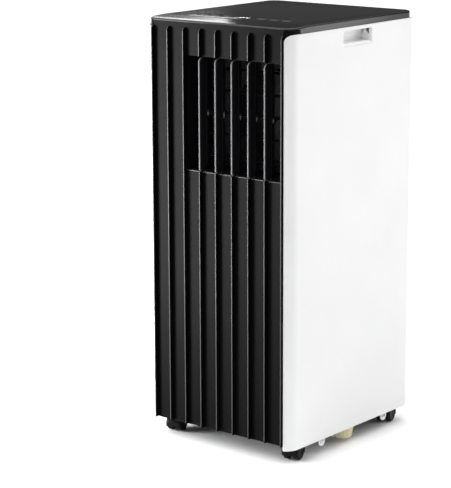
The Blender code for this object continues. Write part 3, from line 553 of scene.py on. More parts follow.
panel_outline = (
    [(-129.7, -140.0)] + arc(-128.5, Y_FACE + 1.2, 1.2, 180, 270, 4) + arc(128.5, Y_FACE + 1.2, 1.2, 270, 360, 4)
    + [(129.7, -140.0), (127.2, -140.0)] + [(127.2, Y_FACE + 2.8), (-127.2, Y_FACE + 2.8), (-127.2, -140.0)]
)
brow_outline = (
    arc(-124.0, SIDE_CY, 20.0, 180, 270, 16) + arc(124.0, SIDE_CY, 20.0, 270, 360, 16)
    + arc(124.0, SIDE_CY, 15.0, 360, 270, 16) + arc(-124.0, SIDE_CY, 15.0, 270, 180, 16)
)
opening = slab(
    [(u, v) for u, v in rounded(OUT_X[0], OUT_X[1], OUT_Z[0], OUT_Z[1], 2.0, 2.0, 5)], -175.0, -150.0, "Y")
fins, lines = [], []
for x in RIB_X:
    if OUT_X[0] < x < OUT_X[1]:
        for z0, z1, crest in ((Z_FRONT_BOT, OUT_Z[0] - 0.1, False), (OUT_Z[1] + 0.1, 673.0, True)):
            fins.append(rib(x, z0, z1, crest))
            lines.append(rib_line(x, z0, z1, crest))
    else:
        fins.append(rib(x, Z_FRONT_BOT, 673.0))
        lines.append(rib_line(x, Z_FRONT_BOT, 673.0))
# Thin lighter strips along the outlet's lower lip between the ribs: painted highlight.
for x0, x1 in zip((OUT_X[0],) + tuple(x for x in RIB_X if OUT_X[0] < x < OUT_X[1]), tuple(x for x in RIB_X if OUT_X[0] < x < OUT_X[1]) + (OUT_X[1],)):
    lo, hi = x0 + (0.4 if x0 == OUT_X[0] else 1.9), x1 - (0.4 if x1 == OUT_X[1] else 1.9)
    lines.append(slab([(Y_FACE - 0.12, OUT_Z[0] - 1.15), (Y_FACE + 0.5, OUT_Z[0] - 1.15), (Y_FACE + 1.6, OUT_Z[0] + 0.02), (Y_FACE + 0.35, OUT_Z[0] + 0.12), (Y_FACE - 0.02, OUT_Z[0] - 0.2)], lo, hi, "X"))
front = carve(
    slab(panel_outline, Z_FRONT_BOT, 681.2, r=0.0, r_low=0.0),
    [
        ("add", joined(*[corner_wall(s, 19.5, 15.9, -71, 659.0, 677.0) for s in (-1, 1)])),
        ("add", slab(brow_outline, 675.0, 681.2)),
        ("cut", joined(*[slab([(s * 125.2, Y_FACE + 3.0), (s * 131.6, Y_FACE + 3.0), (s * 131.6, -130.0), (s * 125.2, -130.0)], 20.0, 54.0) for s in (-1, 1)])),
        ("cut", opening),
        ("add", joined(*fins)),
    ],
)
piece("front_panel_ribbed", front, BLACK, "cabinet", ["front_panel"])
piece("rib_tip_highlight_lines", joined(*lines), RIB_AND_LID_HIGHLIGHT, "cabinet")

# ------------------------------------------------------------------ side panels with their grips
END_A = -math.degrees(math.acos((WRAP_X + 1.25 - WRAP_CX) / (R_FRONT - SKIN / 2)))
HOLE_Y, HOLE_Z = (-29.6, 47.6), (644.4, 669.0)
for s, side in ((-1, "left"), (1, "right")):
    mid = R_FRONT - SKIN / 2
    ex = WRAP_CX + mid * math.cos(math.radians(END_A))
    ey = WRAP_CY + mid * math.sin(math.radians(END_A))
    tip = arc(ex, ey, SKIN / 2, END_A - 180, END_A, 8)
    outline = (
        tip[1:]
        + arc(WRAP_CX, WRAP_CY, R_FRONT, END_A, 0, 22)[1:]
        + arc(HALF_W - R_REAR, Y_BACK - R_REAR, R_REAR, 0, 90, 14)
        + arc(HALF_W - R_REAR, Y_BACK - R_REAR, R_REAR - SKIN, 90, 0, 14)
        + arc(WRAP_CX, WRAP_CY, R_FRONT - SKIN, 0, END_A, 22)[:-1]
    )
    shell = slab([(s * x, y) for x, y in outline], Z_SIDE_BOT, Z_SIDE_TOP, r=0.7, steps=3)
    shoulder = [(s * x, z) for x, z in [(127.0, 680.0), (127.0, 660.6), (130.0, 660.6)] + arc(HALF_W, 660.6, 14.0, 180, 90, 14)[1:] + [(HALF_W + 4, 674.6), (HALF_W + 4, 680.0)]]
    hole = [(y, z) for y, z in rounded(HOLE_Y[0], HOLE_Y[1], HOLE_Z[0], HOLE_Z[1], 2.2, 2.2, 5)]
    lugs, eyes = [], []
    for y in LUG_Y:
        lo, hi = sorted((s * 136.7, s * 139.1))
        lugs.append(slab(arc(y, 20.8, 7.8, 180, 360, 16) + [(y + 7.8, 42.0), (y - 7.8, 42.0)], lo, hi, "X", r=0.5, steps=2))
        lo, hi = sorted((s * 130, s * 141))
        eyes.append(slab(arc(y - 2.9, 20.4, 1.9, 180, 360, 8) + [(y - 1.0, 25.4), (y - 4.8, 29.0)], lo, hi, "X"))
        eyes.append(slab(arc(y + 2.6, 20.0, 2.0, 180, 360, 8) + [(y + 4.6, 25.4), (y + 0.6, 25.4)], lo, hi, "X"))
        lo, hi = sorted((s * 138.7, s * 141.8))
        lugs.append(slab([(y - 7.8, 30.5), (y + 7.8, 30.5), (y + 7.8, 42.0), (y - 7.8, 42.0)], lo, hi, "X"))
    lo, hi = sorted((s * 138.0, s * 139.2))
    lugs.append(slab([(-43.2, 21.5), (-42.0, 20.6), (-40.8, 21.5), (-40.8, 30.0), (-43.2, 30.0)], lo, hi, "X"))
    lugs.append(slab([(-43.2, 27.0), (-40.8, 27.0), (-40.8, 34.0), (-43.2, 34.0)], min(s * 138.2, s * 141.8), max(s * 138.2, s * 141.8), "X"))
    lo, hi = sorted((s * 136, s * 150))
    side_bm = carve(
        shell,
        [
            ("cut", slab(shoulder, -175.0, -125.0, "Y")),
            ("cut", slab(hole, lo, hi, "X")),
            ("add", joined(lugs[1], lugs[3])),
            ("add", joined(lugs[0], lugs[2])),
            ("add", lugs[5]),
            ("add", lugs[4]),
            ("cut", joined(*eyes)),
        ],
    )
    piece(f"{side}_side_shell", side_bm, WHITE, "cabinet", [f"{side}_side_panel"])

    # the grip: a cup with a sloped lower lip, a hooked upper edge and vents in its rear wall
    rings = []
    for x, y0, y1, z0, z1, r in (
        (146.0, -28.9, 46.9, 644.8, 668.6, 2.0), (143.3, -28.8, 46.8, 645.1, 668.5, 2.0), (140.2, -28.2, 46.2, 648.6, 668.1, 1.6),
        (125.0, -27.8, 45.8, 649.0, 667.8, 1.6), (123.2, -27.2, 45.2, 649.6, 667.2, 1.6), (122.6, -25.8, 43.8, 651.0, 665.8, 1.6),
    ):
        rings.append([(s * x, u, v) for u, v in rounded(y0, y1, z0, z1, r, r, 5)])
    hook = slab([(s * x, z) for x, z in ((124.0, 666.0), (138.4, 666.0), (138.4, 670.4), (137.2, 671.4), (125.2, 671.4), (124.0, 670.4))], -27.4, 45.4, "Y")
    vents = [
        slab([(s * x, z) for x, z in ((138.6, 667.2), (131.4, 667.2), (134.2, 661.0), (138.6, 657.6))], 40.0, 52.0, "Y"),
        slab([(s * x, z) for x, z in ((130.0, 667.2), (124.4, 667.2), (124.4, 656.4), (126.4, 658.8))], 40.0, 52.0, "Y"),
    ]
    cup_bm = carve(
        slab(rounded(-30.9, 48.9, 643.6, 673.5, 1.5, 1.5, 4), min(s * 120.2, s * 141.0), max(s * 120.2, s * 141.0), "X", r=0.4),
        [
            ("add", slab(rounded(-29.4, 47.4, 644.6, 668.8, 2.0, 2.0, 5), min(s * 139.0, s * 143.6), max(s * 139.0, s * 143.6), "X", r=0.4)),
            ("cut", loft(rings)),
            ("cut", hook),
            ("cut", joined(*vents)),
        ],
    )
    # The cup takes the lightened white: painted light in the recess.
    piece(f"{side}_grip_cup", cup_bm, GRIP_LIGHTENED_WHITE, "cabinet", [f"{side}_handle_cup"])

# ------------------------------------------------------------------ lid
LID_Y0 = -161.0


def lid_outline(d):
    return inset(rounded(-HALF_W, HALF_W, LID_Y0, Y_BACK, 21.0, 20.0, 14), d) if d else rounded(-HALF_W, HALF_W, LID_Y0, Y_BACK, 21.0, 20.0, 14)


lid_rows = [(675.0, 3.0), (675.0, 0.35), (675.35, 0.0), (678.5, 0.0), (682.9, 0.0)]
for k in range(1, 8):
    a = math.pi / 2 * k / 7
    lid_rows.append((682.9 + 3.1 * math.sin(a), 3.1 * (1 - math.cos(a))))
lid = loft([[(x, y, z) for x, y in lid_outline(d)] for z, d in lid_rows])
inner = loft([[(x, y, z) for x, y in inset(rounded(-HALF_W, HALF_W, LID_Y0, Y_BACK, 21.0, 20.0, 14), 3.0)] for z in (670.0, 682.9)])
front_relief = slab([(-150.0, -180.0), (150.0, -180.0), (150.0, -139.2), (-150.0, -139.2)], 660.0, 681.5)
key_wells = [slab(rounded(x - 7.6, x + 7.6, KEY_Y - 5.2, KEY_Y + 5.2, 1.2, 1.2, 3), 675.0, 700.0) for x in KEY_X]
lens_well = slab(rounded(-18.3, 18.3, KEY_Y - 7.3, KEY_Y + 7.3, 1.5, 1.5, 3), 675.0, 700.0)
lid = carve(lid, [("cut", inner), ("cut", front_relief)])
for y in (-118, -122, -126, -130, -135, -140, -145, -150, -155, -158):
    bmesh.ops.bisect_plane(lid, geom=lid.verts[:] + lid.edges[:] + lid.faces[:], plane_co=(0, y * MM, 0), plane_no=(0, 1, 0))
for v in lid.verts:
    y, z = v.co.y / MM, v.co.z / MM
    if y < -118.0 and z > 682.0:
        t = (-118.0 - y) / 43.0
        v.co.z -= 1.95 * (t + 0.04 * math.sin(math.pi * t)) * min(1.0, (z - 682.0) / 1.5) * MM
lid = carve(lid, [
    ("cut", slab(rounded(-99.0, 99.0, -113.0, -71.0, 4.0, 4.0, 5), 684.8, 700.0)),
    ("cut", joined(*key_wells, lens_well)),
])
piece("lid_shell", lid, LID, "cabinet", ["top_cover"], sharp=28.0)
# A thin lighter strip along the lid's front edge: painted highlight where the rounded edge catches light.
run = rounded(-HALF_W, HALF_W, LID_Y0, Y_BACK, 21.0, 20.0, 14)
run = [q for q in run if q[1] <= -152.0]
run = sorted(run, key=lambda q: q[0])
rings = []
for (x0, y0), (x1, y1) in zip(run, run[1:] + run[-1:]):
    px, py = run[max(0, run.index((x0, y0)) - 1)]
    tx, ty = x1 - px, y1 - py
    n = math.hypot(tx, ty)
    nx, ny = ty / n, -tx / n
    rings.append([(x0 + nx * o, y0 + ny * o, z) for o, z in ((-1.3, 683.86), (-0.72, 683.5), (-0.28, 682.95), (-0.02, 682.2), (-0.35, 682.2), (-1.3, 683.3))])
piece("lid_front_highlight_line", loft(rings), RIB_AND_LID_HIGHLIGHT, "cabinet")

overlay = carve(
    slab(rounded(-98.7, 98.7, -112.7, -71.3, 3.7, 3.7, 5), 685.1, 686.0, r=0.25, steps=2, r_low=0.0),
    [("cut", joined(
        *[slab(rounded(x - 7.6, x + 7.6, KEY_Y - 5.2, KEY_Y + 5.2, 1.2, 1.2, 3), 680.0, 700.0) for x in KEY_X],
        slab(rounded(-18.3, 18.3, KEY_Y - 7.3, KEY_Y + 7.3, 1.5, 1.5, 3), 680.0, 700.0)))],
)
piece("control_fascia", overlay, GLOSS, "cabinet", ["control_overlay"])
piece("display_window", slab(rounded(-18.0, 18.0, KEY_Y - 7.0, KEY_Y + 7.0, 1.3, 1.3, 4), 683.5, 686.0, r=0.35, steps=2, r_low=0.0),
      GLOSS, "cabinet", ["display_lens"])
for name, x in zip(KEY_NAMES, KEY_X):
    cap = joined(
        slab(rounded(x - 7.2, x + 7.2, KEY_Y - 4.8, KEY_Y + 4.8, 1.0, 1.0, 4), 682.0, 686.5, r=0.7, steps=3, r_low=0.0),
        slab(rounded(x - 8.8, x + 8.8, KEY_Y - 6.2, KEY_Y + 6.2, 1.0, 1.0, 3), 681.3, 682.4),
    )
    piece(f"{name}_cap", cap, KEYCAP, name, [name])


def flat_mark(outline, z=686.02, t=0.1):
    return slab(outline, z, z + t)


def ring_mark(cx, cy, r0, r1, start, end, z, steps=18):
    return flat_mark(arc(cx, cy, r1, start, end, steps) + arc(cx, cy, r0, end, start, steps), z)


KEY_Z = 686.38
marks = {
    "key_power": [ring_mark(-82, KEY_Y, 1.7, 2.3, 120, 420, KEY_Z), flat_mark([(-82.3, KEY_Y + 0.6), (-81.7, KEY_Y + 0.6), (-81.7, KEY_Y + 2.9), (-82.3, KEY_Y + 2.9)], KEY_Z)],
    "key_mode": [flat_mark(rounded(-58 + dx - 0.7, -58 + dx + 0.7, KEY_Y - 0.7, KEY_Y + 0.7, 0.6, 0.6, 4), KEY_Z) for dx in (-2.6, 0.0, 2.6)],
    "key_timer": [ring_mark(-34, KEY_Y, 2.0, 2.6, 0, 359.9, KEY_Z, 24), flat_mark([(-34.25, KEY_Y), (-33.75, KEY_Y), (-33.75, KEY_Y + 1.6), (-34.25, KEY_Y + 1.6)], KEY_Z)],
    "key_fan": [flat_mark([(34 + 0.3 * math.cos(a), KEY_Y + 0.3 * math.sin(a)), (34 + 2.7 * math.cos(a - 0.34), KEY_Y + 2.7 * math.sin(a - 0.34)), (34 + 2.7 * math.cos(a + 0.34), KEY_Y + 2.7 * math.sin(a + 0.34))], KEY_Z) for a in (0.5, 0.5 + 2.0944, 0.5 + 4.1888)],
    "key_down": [flat_mark([(58 - 2.4, KEY_Y + 1.4), (58, KEY_Y - 1.8), (58 + 2.4, KEY_Y + 1.4)], KEY_Z)],
    "key_up": [flat_mark([(82 - 2.4, KEY_Y - 1.4), (82 + 2.4, KEY_Y - 1.4), (82, KEY_Y + 1.8)], KEY_Z)],
}
for name, shapes in marks.items():
    piece(f"{name}_mark", joined(*shapes), MARK, name)

SEGMENTS = {"top": (0, 4.5, 1), "mid": (0, 0, 1), "low": (0, -4.5, 1), "tl": (-2.4, 2.25, 0), "tr": (2.4, 2.25, 0), "bl": (-2.4, -2.25, 0), "br": (2.4, -2.25, 0)}
DIGITS = {2: ("top", "tr", "mid", "bl", "low"), 4: ("tl", "tr", "mid", "br")}
glyphs = []
for cx, digit in ((-5.0, 2), (5.0, 4)):
    for seg in DIGITS[digit]:
        dx, dy, level = SEGMENTS[seg]
        x, y = cx + dx, KEY_Y + dy
        w, h = (1.9, 0.5) if level else (0.5, 1.85)
        glyphs.append(flat_mark([(x - w, y - h), (x + w, y - h), (x + w, y + h), (x - w, y + h)], 686.01))
piece("display_digits", joined(*glyphs), GLOW, "cabinet")

# ------------------------------------------------------------------ louvers and vanes
for i, x in enumerate(LOUVER_X):
    blade = (
        [(-141.0, 451.5)] + arc(-162.2, 454.5, 3.0, 270, 180, 6)[0:] + arc(-158.2, 621.5, 7.0, 180, 90, 10) + [(-141.0, 628.5)]
    )[::-1]
    rows = []
    for dx, d in ((-1.2, 0.95), (-1.12, 0.55), (-0.9, 0.22), (-0.55, 0.0), (0.55, 0.0), (0.9, 0.22), (1.12, 0.55), (1.2, 0.95)):
        rows.append([(x + dx, u, v) for u, v in inset(blade, d)])
    bm = carve(loft(rows), [
        ("add", rod((x, LOUVER_Y, 448.3), (x, LOUVER_Y, 631.7), 1.75, 16, 0.3)),
        ("cut", slab([(-146.3, 535.0), (-130.0, 535.0), (-130.0, 545.0), (-146.3, 545.0)], x - 5, x + 5, "X")),
        ("add", rod((x, LOUVER_Y + 6.0, 534.6), (x, LOUVER_Y + 6.0, 545.4), 1.15, 12)),
    ])
    piece(f"louver_blade_{i + 1}", bm, BLADE, f"louver_{i + 1}", [f"louver_{i + 1}"])
    # A lighter strip over the blade's rounded front edge and top: painted highlight.
    nose = [(-157.0, 628.5)] + arc(-158.2, 621.5, 7.0, 90, 180, 10) + arc(-162.2, 454.5, 3.0, 180, 270, 6)
    band = nose + [(-162.0, 452.3), (-164.4, 454.8), (-164.4, 621.4)] + arc(-158.2, 621.5, 6.2, 180, 90, 10)[1:]
    rows = []
    for dx, d in ((-1.24, 0.5), (-1.22, 0.28), (-0.9, 0.04), (-0.4, -0.12), (0.4, -0.12), (0.9, 0.04), (1.22, 0.28), (1.24, 0.5)):
        rows.append([(x + dx, u + (d if k < len(nose) else 0.0), v) for k, (u, v) in enumerate(band)])
    piece(f"louver_edge_{i + 1}", loft(rows), LOUVER_HIGHLIGHT, f"louver_{i + 1}")

for i, z in enumerate(VANE_Z):
    left_end = -74.0 if i == 2 else -64.2
    section = [(VANE_Y - 11, z - 0.25)] + arc(VANE_Y - 10.4, z, 0.55, 200, 90, 4) + [(VANE_Y - 2, z + 1.0), (VANE_Y + 10.3, z + 0.7)] + arc(VANE_Y + 10.4, z, 0.6, 80, -80, 5) + [(VANE_Y + 10.3, z - 0.7), (VANE_Y - 2, z - 1.0)]
    bm = carve(slab(section[::-1], OUT_X[0] + 1.0, OUT_X[1] - 1.0, "X"), [
        ("add", rod((left_end, VANE_Y, z), (OUT_X[1] + 1.9, VANE_Y, z), 1.75, 14)),
        ("cut", slab([(VANE_Y + 4.7, z - 5), (VANE_Y + 20, z - 5), (VANE_Y + 20, z + 5), (VANE_Y + 4.7, z + 5)], 26.5, 35.5, "X")),
        ("add", rod((26.0, VANE_Y + 9.0, z), (36.0, VANE_Y + 9.0, z), 1.15, 12)),
    ])
    piece(f"vane_blade_{i + 1}", bm, DARK, f"vane_{i + 1}", [f"vane_{i + 1}"])

# ------------------------------------------------------------------ casters
TURN = math.radians(12.0)
TRAIL, WHEEL_R = 7.0, 13.5
for tag, cx, cy in (("front_left", -120.0, -126.5), ("front_right", 120.0, -126.5), ("rear_left", -120.0, 129.0), ("rear_right", 120.0, 129.0)):
    def trailed(bm):
        bmesh.ops.rotate(bm, cent=(0, 0, 0), matrix=Matrix.Rotation(TURN, 3, "Z"), verts=bm.verts)
        bmesh.ops.translate(bm, vec=Vector((cx, cy, 0)) * MM, verts=bm.verts)
        return bm

    w = WHEEL_R
    hood = [(0, -14.0), (12.6, -14.0), (14.6, -13.3), (15.8, -11.8), (16.2, -9.6), (16.2, 9.6), (15.8, 11.8), (14.6, 13.3), (12.6, 14.0), (0, 14.0)]
    bm = carve(
        trailed(lathe(hood, (0, TRAIL, w), "X", 44)),
        [
            ("cut", trailed(joined(rod((3.4, TRAIL, w), (20, TRAIL, w), 14.1, 40), rod((-20, TRAIL, w), (-3.4, TRAIL, w), 14.1, 40)))),
            ("cut", trailed(slab([(-30, TRAIL - 30), (30, TRAIL - 30), (30, TRAIL + 30), (-30, TRAIL + 30)], -20, 9.0))),
            ("add", trailed(rod((0, 0, 23.5), (0, 0, 30.6), 8.5, 28, 0.4))),
            ("add", trailed(rod((0, 0, 30.0), (0, 0, 45.0), 4.0, 20, 0.5))),
            ("cut", trailed(joined(rod((3.4, TRAIL, w), (20, TRAIL, w), 14.05, 40), rod((-20, TRAIL, w), (-3.4, TRAIL, w), 14.05, 40)))),
            ("cut", trailed(rod((-8, TRAIL, w), (8, TRAIL, w), 2.3, 18))),
        ],
    )
    piece(f"caster_{tag}_hood", bm, CASTER, f"caster_{tag}_housing", [f"caster_{tag}_housing"])
    half = [(0, 12.2), (4.2, 12.2), (4.8, 12.9), (8.8, 12.9), (9.4, 13.55), (10.6, 13.6), (11.6, 13.35), (12.6, 12.7), (13.2, 11.9), (w, 10.9), (w, 6.7), (13.2, 5.6), (12.6, 4.8), (11.6, 4.2), (9.6, 4.1), (9.2, 4.9), (2.8, 4.9), (2.0, 4.1)]
    wheel = lathe(half + [(r, -h) for r, h in half[::-1]], (0, TRAIL, w), "X", 44)
    piece(f"caster_{tag}_twin_wheel", trailed(wheel), CASTER, f"caster_{tag}_wheels", [f"caster_{tag}_wheels"])

# ------------------------------------------------------------------ under the base
cap_profile = [(0, 36.0), (6.4, 36.0), (6.6, 35.8), (6.6, 30.5), (14.4, 30.5), (14.6, 30.2), (14.6, 25.7), (16.6, 25.5), (17.0, 25.0), (17.0, 23.0), (16.6, 22.5),
               (14.0, 9.4), (13.4, 8.3), (12.4, 7.5), (11.0, 7.2), (9.4, 7.2), (9.0, 8.4), (3.0, 8.4), (2.6, 7.4), (0, 7.4)]
cap_bm = lathe(cap_profile, (126.0, 4.0, 0.0), "Z", 48)
grips = []
for k in range(16):
    a = 2 * math.pi * k / 16
    c, sn = math.cos(a), math.sin(a)
    grips.append(rod((126 + 13.6 * c, 4 + 13.6 * sn, 9.4), (126 + 16.0 * c, 4 + 16.0 * sn, 22.8), 0.8, 8))
piece("drain_cap_ribbed", carve(cap_bm, [("add", joined(*grips))]), NYLON, "cabinet", ["base_drain_cap"])

# ------------------------------------------------------------------ rear: cover, grilles, filter, port
rear = carve(
    slab(rounded(-131.7, 131.7, Z_SIDE_BOT, Z_SIDE_TOP, 1.0, 1.0, 3), Y_BACK - SKIN, Y_BACK, "Y", r=0.5, steps=2, r_low=0.0),
    [
        ("add", joined(*[slab([(sx * 107 - 2.7, 430.8), (sx * 107 + 2.7, 430.8), (sx * 107 + 2.7, 441.0), (sx * 107 - 2.7, 441.0)], 160.0, 164.2, "Y") for sx in (-1, 1)])),
        ("cut", joined(
            slab(rounded(-104, 104, 430.5, 648, 1.5, 1.5, 4), 140, 180, "Y"), slab(rounded(-104, 104, 66, 230, 1.5, 1.5, 4), 140, 180, "Y"),
            rod((0, 150, EXHAUST_Z), (0, 180, EXHAUST_Z), 71.1, 72), rod((112, 150, 252), (112, 180, 252), 9.3, 32),
            rod((-60, 150, 43), (-60, 180, 43), 12.0, 32))),
        ("cut", rod((-108.2, 164.0, 434.5), (108.2, 164.0, 434.5), 1.45, 12)),
        ("cut", joined(*[slab([(-118, z), (-90, z), (-90, z + 2.2), (-118, z + 2.2)], 165.2, 170, "Y") for z in (249.0, 254.0)])),
    ],
)
piece("rear_shell", rear, WHITE, "cabinet", ["rear_cover"])

screws = []
for x, z in ((-122, 40), (122, 40), (-122, 240), (122, 240), (-122, 420), (122, 420), (-122, 662), (122, 662), (0, 662)):
    head = lathe([(0, 165.4), (3.6, 165.4), (3.6, 165.6), (3.1, 165.95), (1.8, 166.0), (0, 166.0)], (x, 0, z), "Y", 24)
    screws.append(carve(head, [("cut", joined(
        slab([(x - 1.9, z - 0.4), (x + 1.9, z - 0.4), (x + 1.9, z + 0.4), (x - 1.9, z + 0.4)], 165.55, 167, "Y"),
        )), ("cut", slab([(x - 0.4, z - 1.9), (x + 0.4, z - 1.9), (x + 0.4, z + 1.9), (x - 0.4, z + 1.9)], 165.55, 167, "Y"))]))
piece("rear_screws", joined(*screws), SCREW, "cabinet")


def slatted(z0, z1, y_in, y_out, step, lean):
    """Sloped slats across three bays, and the two uprights between the bays."""
    made = []
    z = z0
    while z + step * 0.7 < z1:
        made.append(slab([(y_out - 0.5, z), (y_out - 0.1, z + 0.4), (y_in + 0.1, z + lean + 1.5), (y_in - 0.2, z + lean + 1.1)][::-1], -98.5, 98.5, "X"))
        z += step
    for x in (-32.75, 32.75):
        made.append(slab([(x - 1.2, z0 - 3), (x + 1.2, z0 - 3), (x + 1.2, z1 + 3), (x - 1.2, z1 + 3)], y_in, y_out - 0.6, "Y"))
    return made


def framed(z0, z1, y_in, y_out, rim, deep):
    outer = slab(rounded(-103.7, 103.7, z0, z1, 1.2, 1.2, 4), deep, y_out, "Y", r=0.6, steps=2, r_low=0.2)
    return carve(outer, [("cut", slab(rounded(-103.7 + rim, 103.7 - rim, z0 + rim, z1 - rim, 2.0, 2.0, 4), deep - 5, y_out + 5, "Y"))])


filter_frame = carve(framed(432.6, 647.6, 162.6, Y_BACK, 5.4, 158.2), [
    ("add", joined(*slatted(441.0, 640.0, 162.6, Y_BACK, 7.6, 2.6)[:-2])),
    ("add", joined(*slatted(441.0, 640.0, 162.6, Y_BACK, 7.6, 2.6)[-2:])),
    ("add", rod((-106.8, 164.0, 434.5), (106.8, 164.0, 434.5), 1.15, 12)),
])
piece("filter_frame_slatted", filter_frame, WHITE, "upper_filter_frame", ["upper_filter_frame"])
strands = []
for k in range(50):
    x = -98.0 + 4.0 * k
    strands.append(slab([(x - 0.3, 160.0), (x + 0.3, 160.0), (x + 0.3, 160.6), (x - 0.3, 160.6)], 438.0, 642.0))
for k in range(51):
    z = 440.0 + 4.0 * k
    strands.append(slab([(160.0, z - 0.3), (160.6, z - 0.3), (160.6, z + 0.3), (160.0, z + 0.3)], -98.4, 98.4, "X"))
piece("filter_net", joined(*strands), MESH, "upper_filter_frame")

lower = carve(framed(66.3, 229.7, 162.6, Y_BACK, 5.4, 162.6), [
    ("add", joined(*slatted(74.5, 222.0, 162.8, Y_BACK, 7.6, 2.4)[:-2])),
    ("add", joined(*slatted(74.5, 222.0, 162.8, Y_BACK, 7.6, 2.4)[-2:])),
])
piece("lower_grille_slatted", lower, WHITE, "cabinet", ["lower_intake_grille"])

collar = carve(
    lathe([(64.0, 165.2), (64.5, 165.8), (65.2, 166.0), (69.4, 166.0), (70.1, 165.7), (70.4, 165.0), (70.4, 146.4), (70.0, 146.0), (64.4, 146.0), (64.0, 146.4)],
          (0, 0, EXHAUST_Z), "Y", 96),
    [("add", joined(*[
        slab(rounded(a - 5, a + 5, b - 2.6, b + 2.6, 1.0, 1.0, 3) if horizontal else rounded(a - 2.6, a + 2.6, b - 5, b + 5, 1.0, 1.0, 3), 156, 159, "Y", r=0.4, steps=2)
        for a, b, horizontal in ((0, EXHAUST_Z + 63.2, True), (0, EXHAUST_Z - 63.2, True), (63.2, EXHAUST_Z, False), (-63.2, EXHAUST_Z, False))]))],
)
piece("exhaust_port_ring", collar, WHITE, "cabinet", ["exhaust_collar"])
guard = [lathe([(r - 0.7, 108.0), (r + 0.7, 108.0), (r + 0.7, 110.0), (r - 0.7, 110.0)], (0, 0, EXHAUST_Z), "Y", 48) for r in (12.0, 24.0, 36.0, 48.0)]
for k in range(6):
    a = math.pi * k / 6
    c, sn = math.cos(a), math.sin(a)
    guard.append(slab([(-60.2 * c + 0.8 * sn, EXHAUST_Z - 60.2 * sn - 0.8 * c), (60.2 * c + 0.8 * sn, EXHAUST_Z + 60.2 * sn - 0.8 * c),
                       (60.2 * c - 0.8 * sn, EXHAUST_Z + 60.2 * sn + 0.8 * c), (-60.2 * c - 0.8 * sn, EXHAUST_Z - 60.2 * sn + 0.8 * c)], 110.2, 112.2, "Y"))
piece("exhaust_finger_guard", joined(*guard), DARK, "cabinet")

piece("rear_drain_plug_ribbed", lathe([(0, 165.4), (3.0, 165.4), (3.4, 164.9), (7.6, 164.9), (8.0, 165.6), (11.0, 165.4), (11.6, 164.8), (11.6, 163.2), (7.5, 163.1), (7.2, 152.4), (6.8, 152.0), (0, 152.0)],
                                       (-60, 0, 43), "Y", 40), DARK, "cabinet", ["rear_drain_plug"])
piece("cord_gland_collar", lathe([(4.2, 165.4), (4.8, 166.0), (8.0, 166.0), (8.9, 165.2), (8.9, 156.2), (4.2, 156.0)], (112, 0, 252), "Y", 36), DARK, "cabinet", ["cord_gland"])


def fin_pack(name, node, x0, x1, y0, y1, z0, z1, pitch):
    """Thin fins on tube rows, between two end plates, with hairpin bends outside them."""
    made = [slab([(x0, y0), (x0 + 1.2, y0), (x0 + 1.2, y1), (x0, y1)], z0, z1), slab([(x1 - 1.2, y0), (x1, y0), (x1, y1), (x1 - 1.2, y1)], z0, z1)]
    n = int((x1 - x0 - 4) / pitch)
    for k in range(n + 1):
        x = x0 + 2.0 + (x1 - x0 - 4.3) * k / n
        made.append(slab([(x, y0 + 0.5), (x + 0.3, y0 + 0.5), (x + 0.3, y1 - 0.5), (x, y1 - 0.5)], z0 + 1, z1 - 1))
    piece(name, joined(*made), FINS, "cabinet", [node])
    tubes = []
    ym = (y0 + y1) / 2
    z = z0 + 10.0
    while z < z1 - 8:
        for y in (ym - (y1 - y0) / 4, ym + (y1 - y0) / 4):
            tubes.append(rod((x0 - 0.5, y, z), (x1 + 0.5, y, z), 3.0, 12))
        z += 18.0
    z = z0 + 10.0
    while z + 18 < z1 - 8:
        for y in (ym - (y1 - y0) / 4, ym + (y1 - y0) / 4):
            for edge, way in ((x0 - 0.4, -1), (x1 + 0.4, 1)):
                rings = []
                for k in range(9):
                    a = math.pi * k / 8 - math.pi / 2
                    ox, oz = edge + way * 9 * math.cos(a), z + 9 + 9 * math.sin(a)
                    ring = []
                    for m in range(10):
                        b = 2 * math.pi * m / 10
                        ring.append((ox + way * 2.9 * math.cos(b) * math.cos(a), y + 2.9 * math.sin(b), oz + 2.9 * math.cos(b) * math.sin(a)))
                    rings.append(ring)
                tubes.append(loft(rings))
        z += 36.0
    piece(name + "_tubes", joined(*tubes), COPPER, "cabinet")


fin_pack("evaporator_fins", "evaporator_coil", -103.0, 103.0, 106.0, 134.0, 412.0, 648.0, 2.6)
fin_pack("condenser_fins", "condenser_coil", -103.0, 103.0, 112.0, 142.0, 56.0, 236.0, 2.6)

# ------------------------------------------------------------------ stage and light


def stage_floor():
    bm = bmesh.new()
    bmesh.ops.create_grid(bm, x_segments=8, y_segments=8, size=30.0)
    mesh = bpy.data.meshes.new("studio_floor")
    bm.to_mesh(mesh)
    bm.free()
    made = bpy.data.objects.new("studio_floor", mesh)
    SCENE.collection.objects.link(made)
    mat, nt, shader = new_material("studio_floor")
    where = add(nt, "ShaderNodeTexCoord").outputs["Object"]
    soft = noise(nt, where, 0.7, 2.0)
    ramp = add(nt, "ShaderNodeValToRGB")
    ramp.color_ramp.elements[0].color = (0.93, 0.93, 0.935, 1)
    ramp.color_ramp.elements[1].color = (0.95, 0.95, 0.952, 1)
    nt.links.new(soft.outputs["Fac"], ramp.inputs["Fac"])
    nt.links.new(ramp.outputs["Color"], shader.inputs["Base Color"])
    shader.inputs["Roughness"].default_value = 0.9
    shader.inputs["Specular IOR Level"].default_value = 0.1
    shader.inputs["Emission Color"].default_value = (1, 1, 1, 1)
    shader.inputs["Emission Strength"].default_value = 0.0
    mesh.materials.append(mat)
    made.location.z = -0.0004


stage_floor()


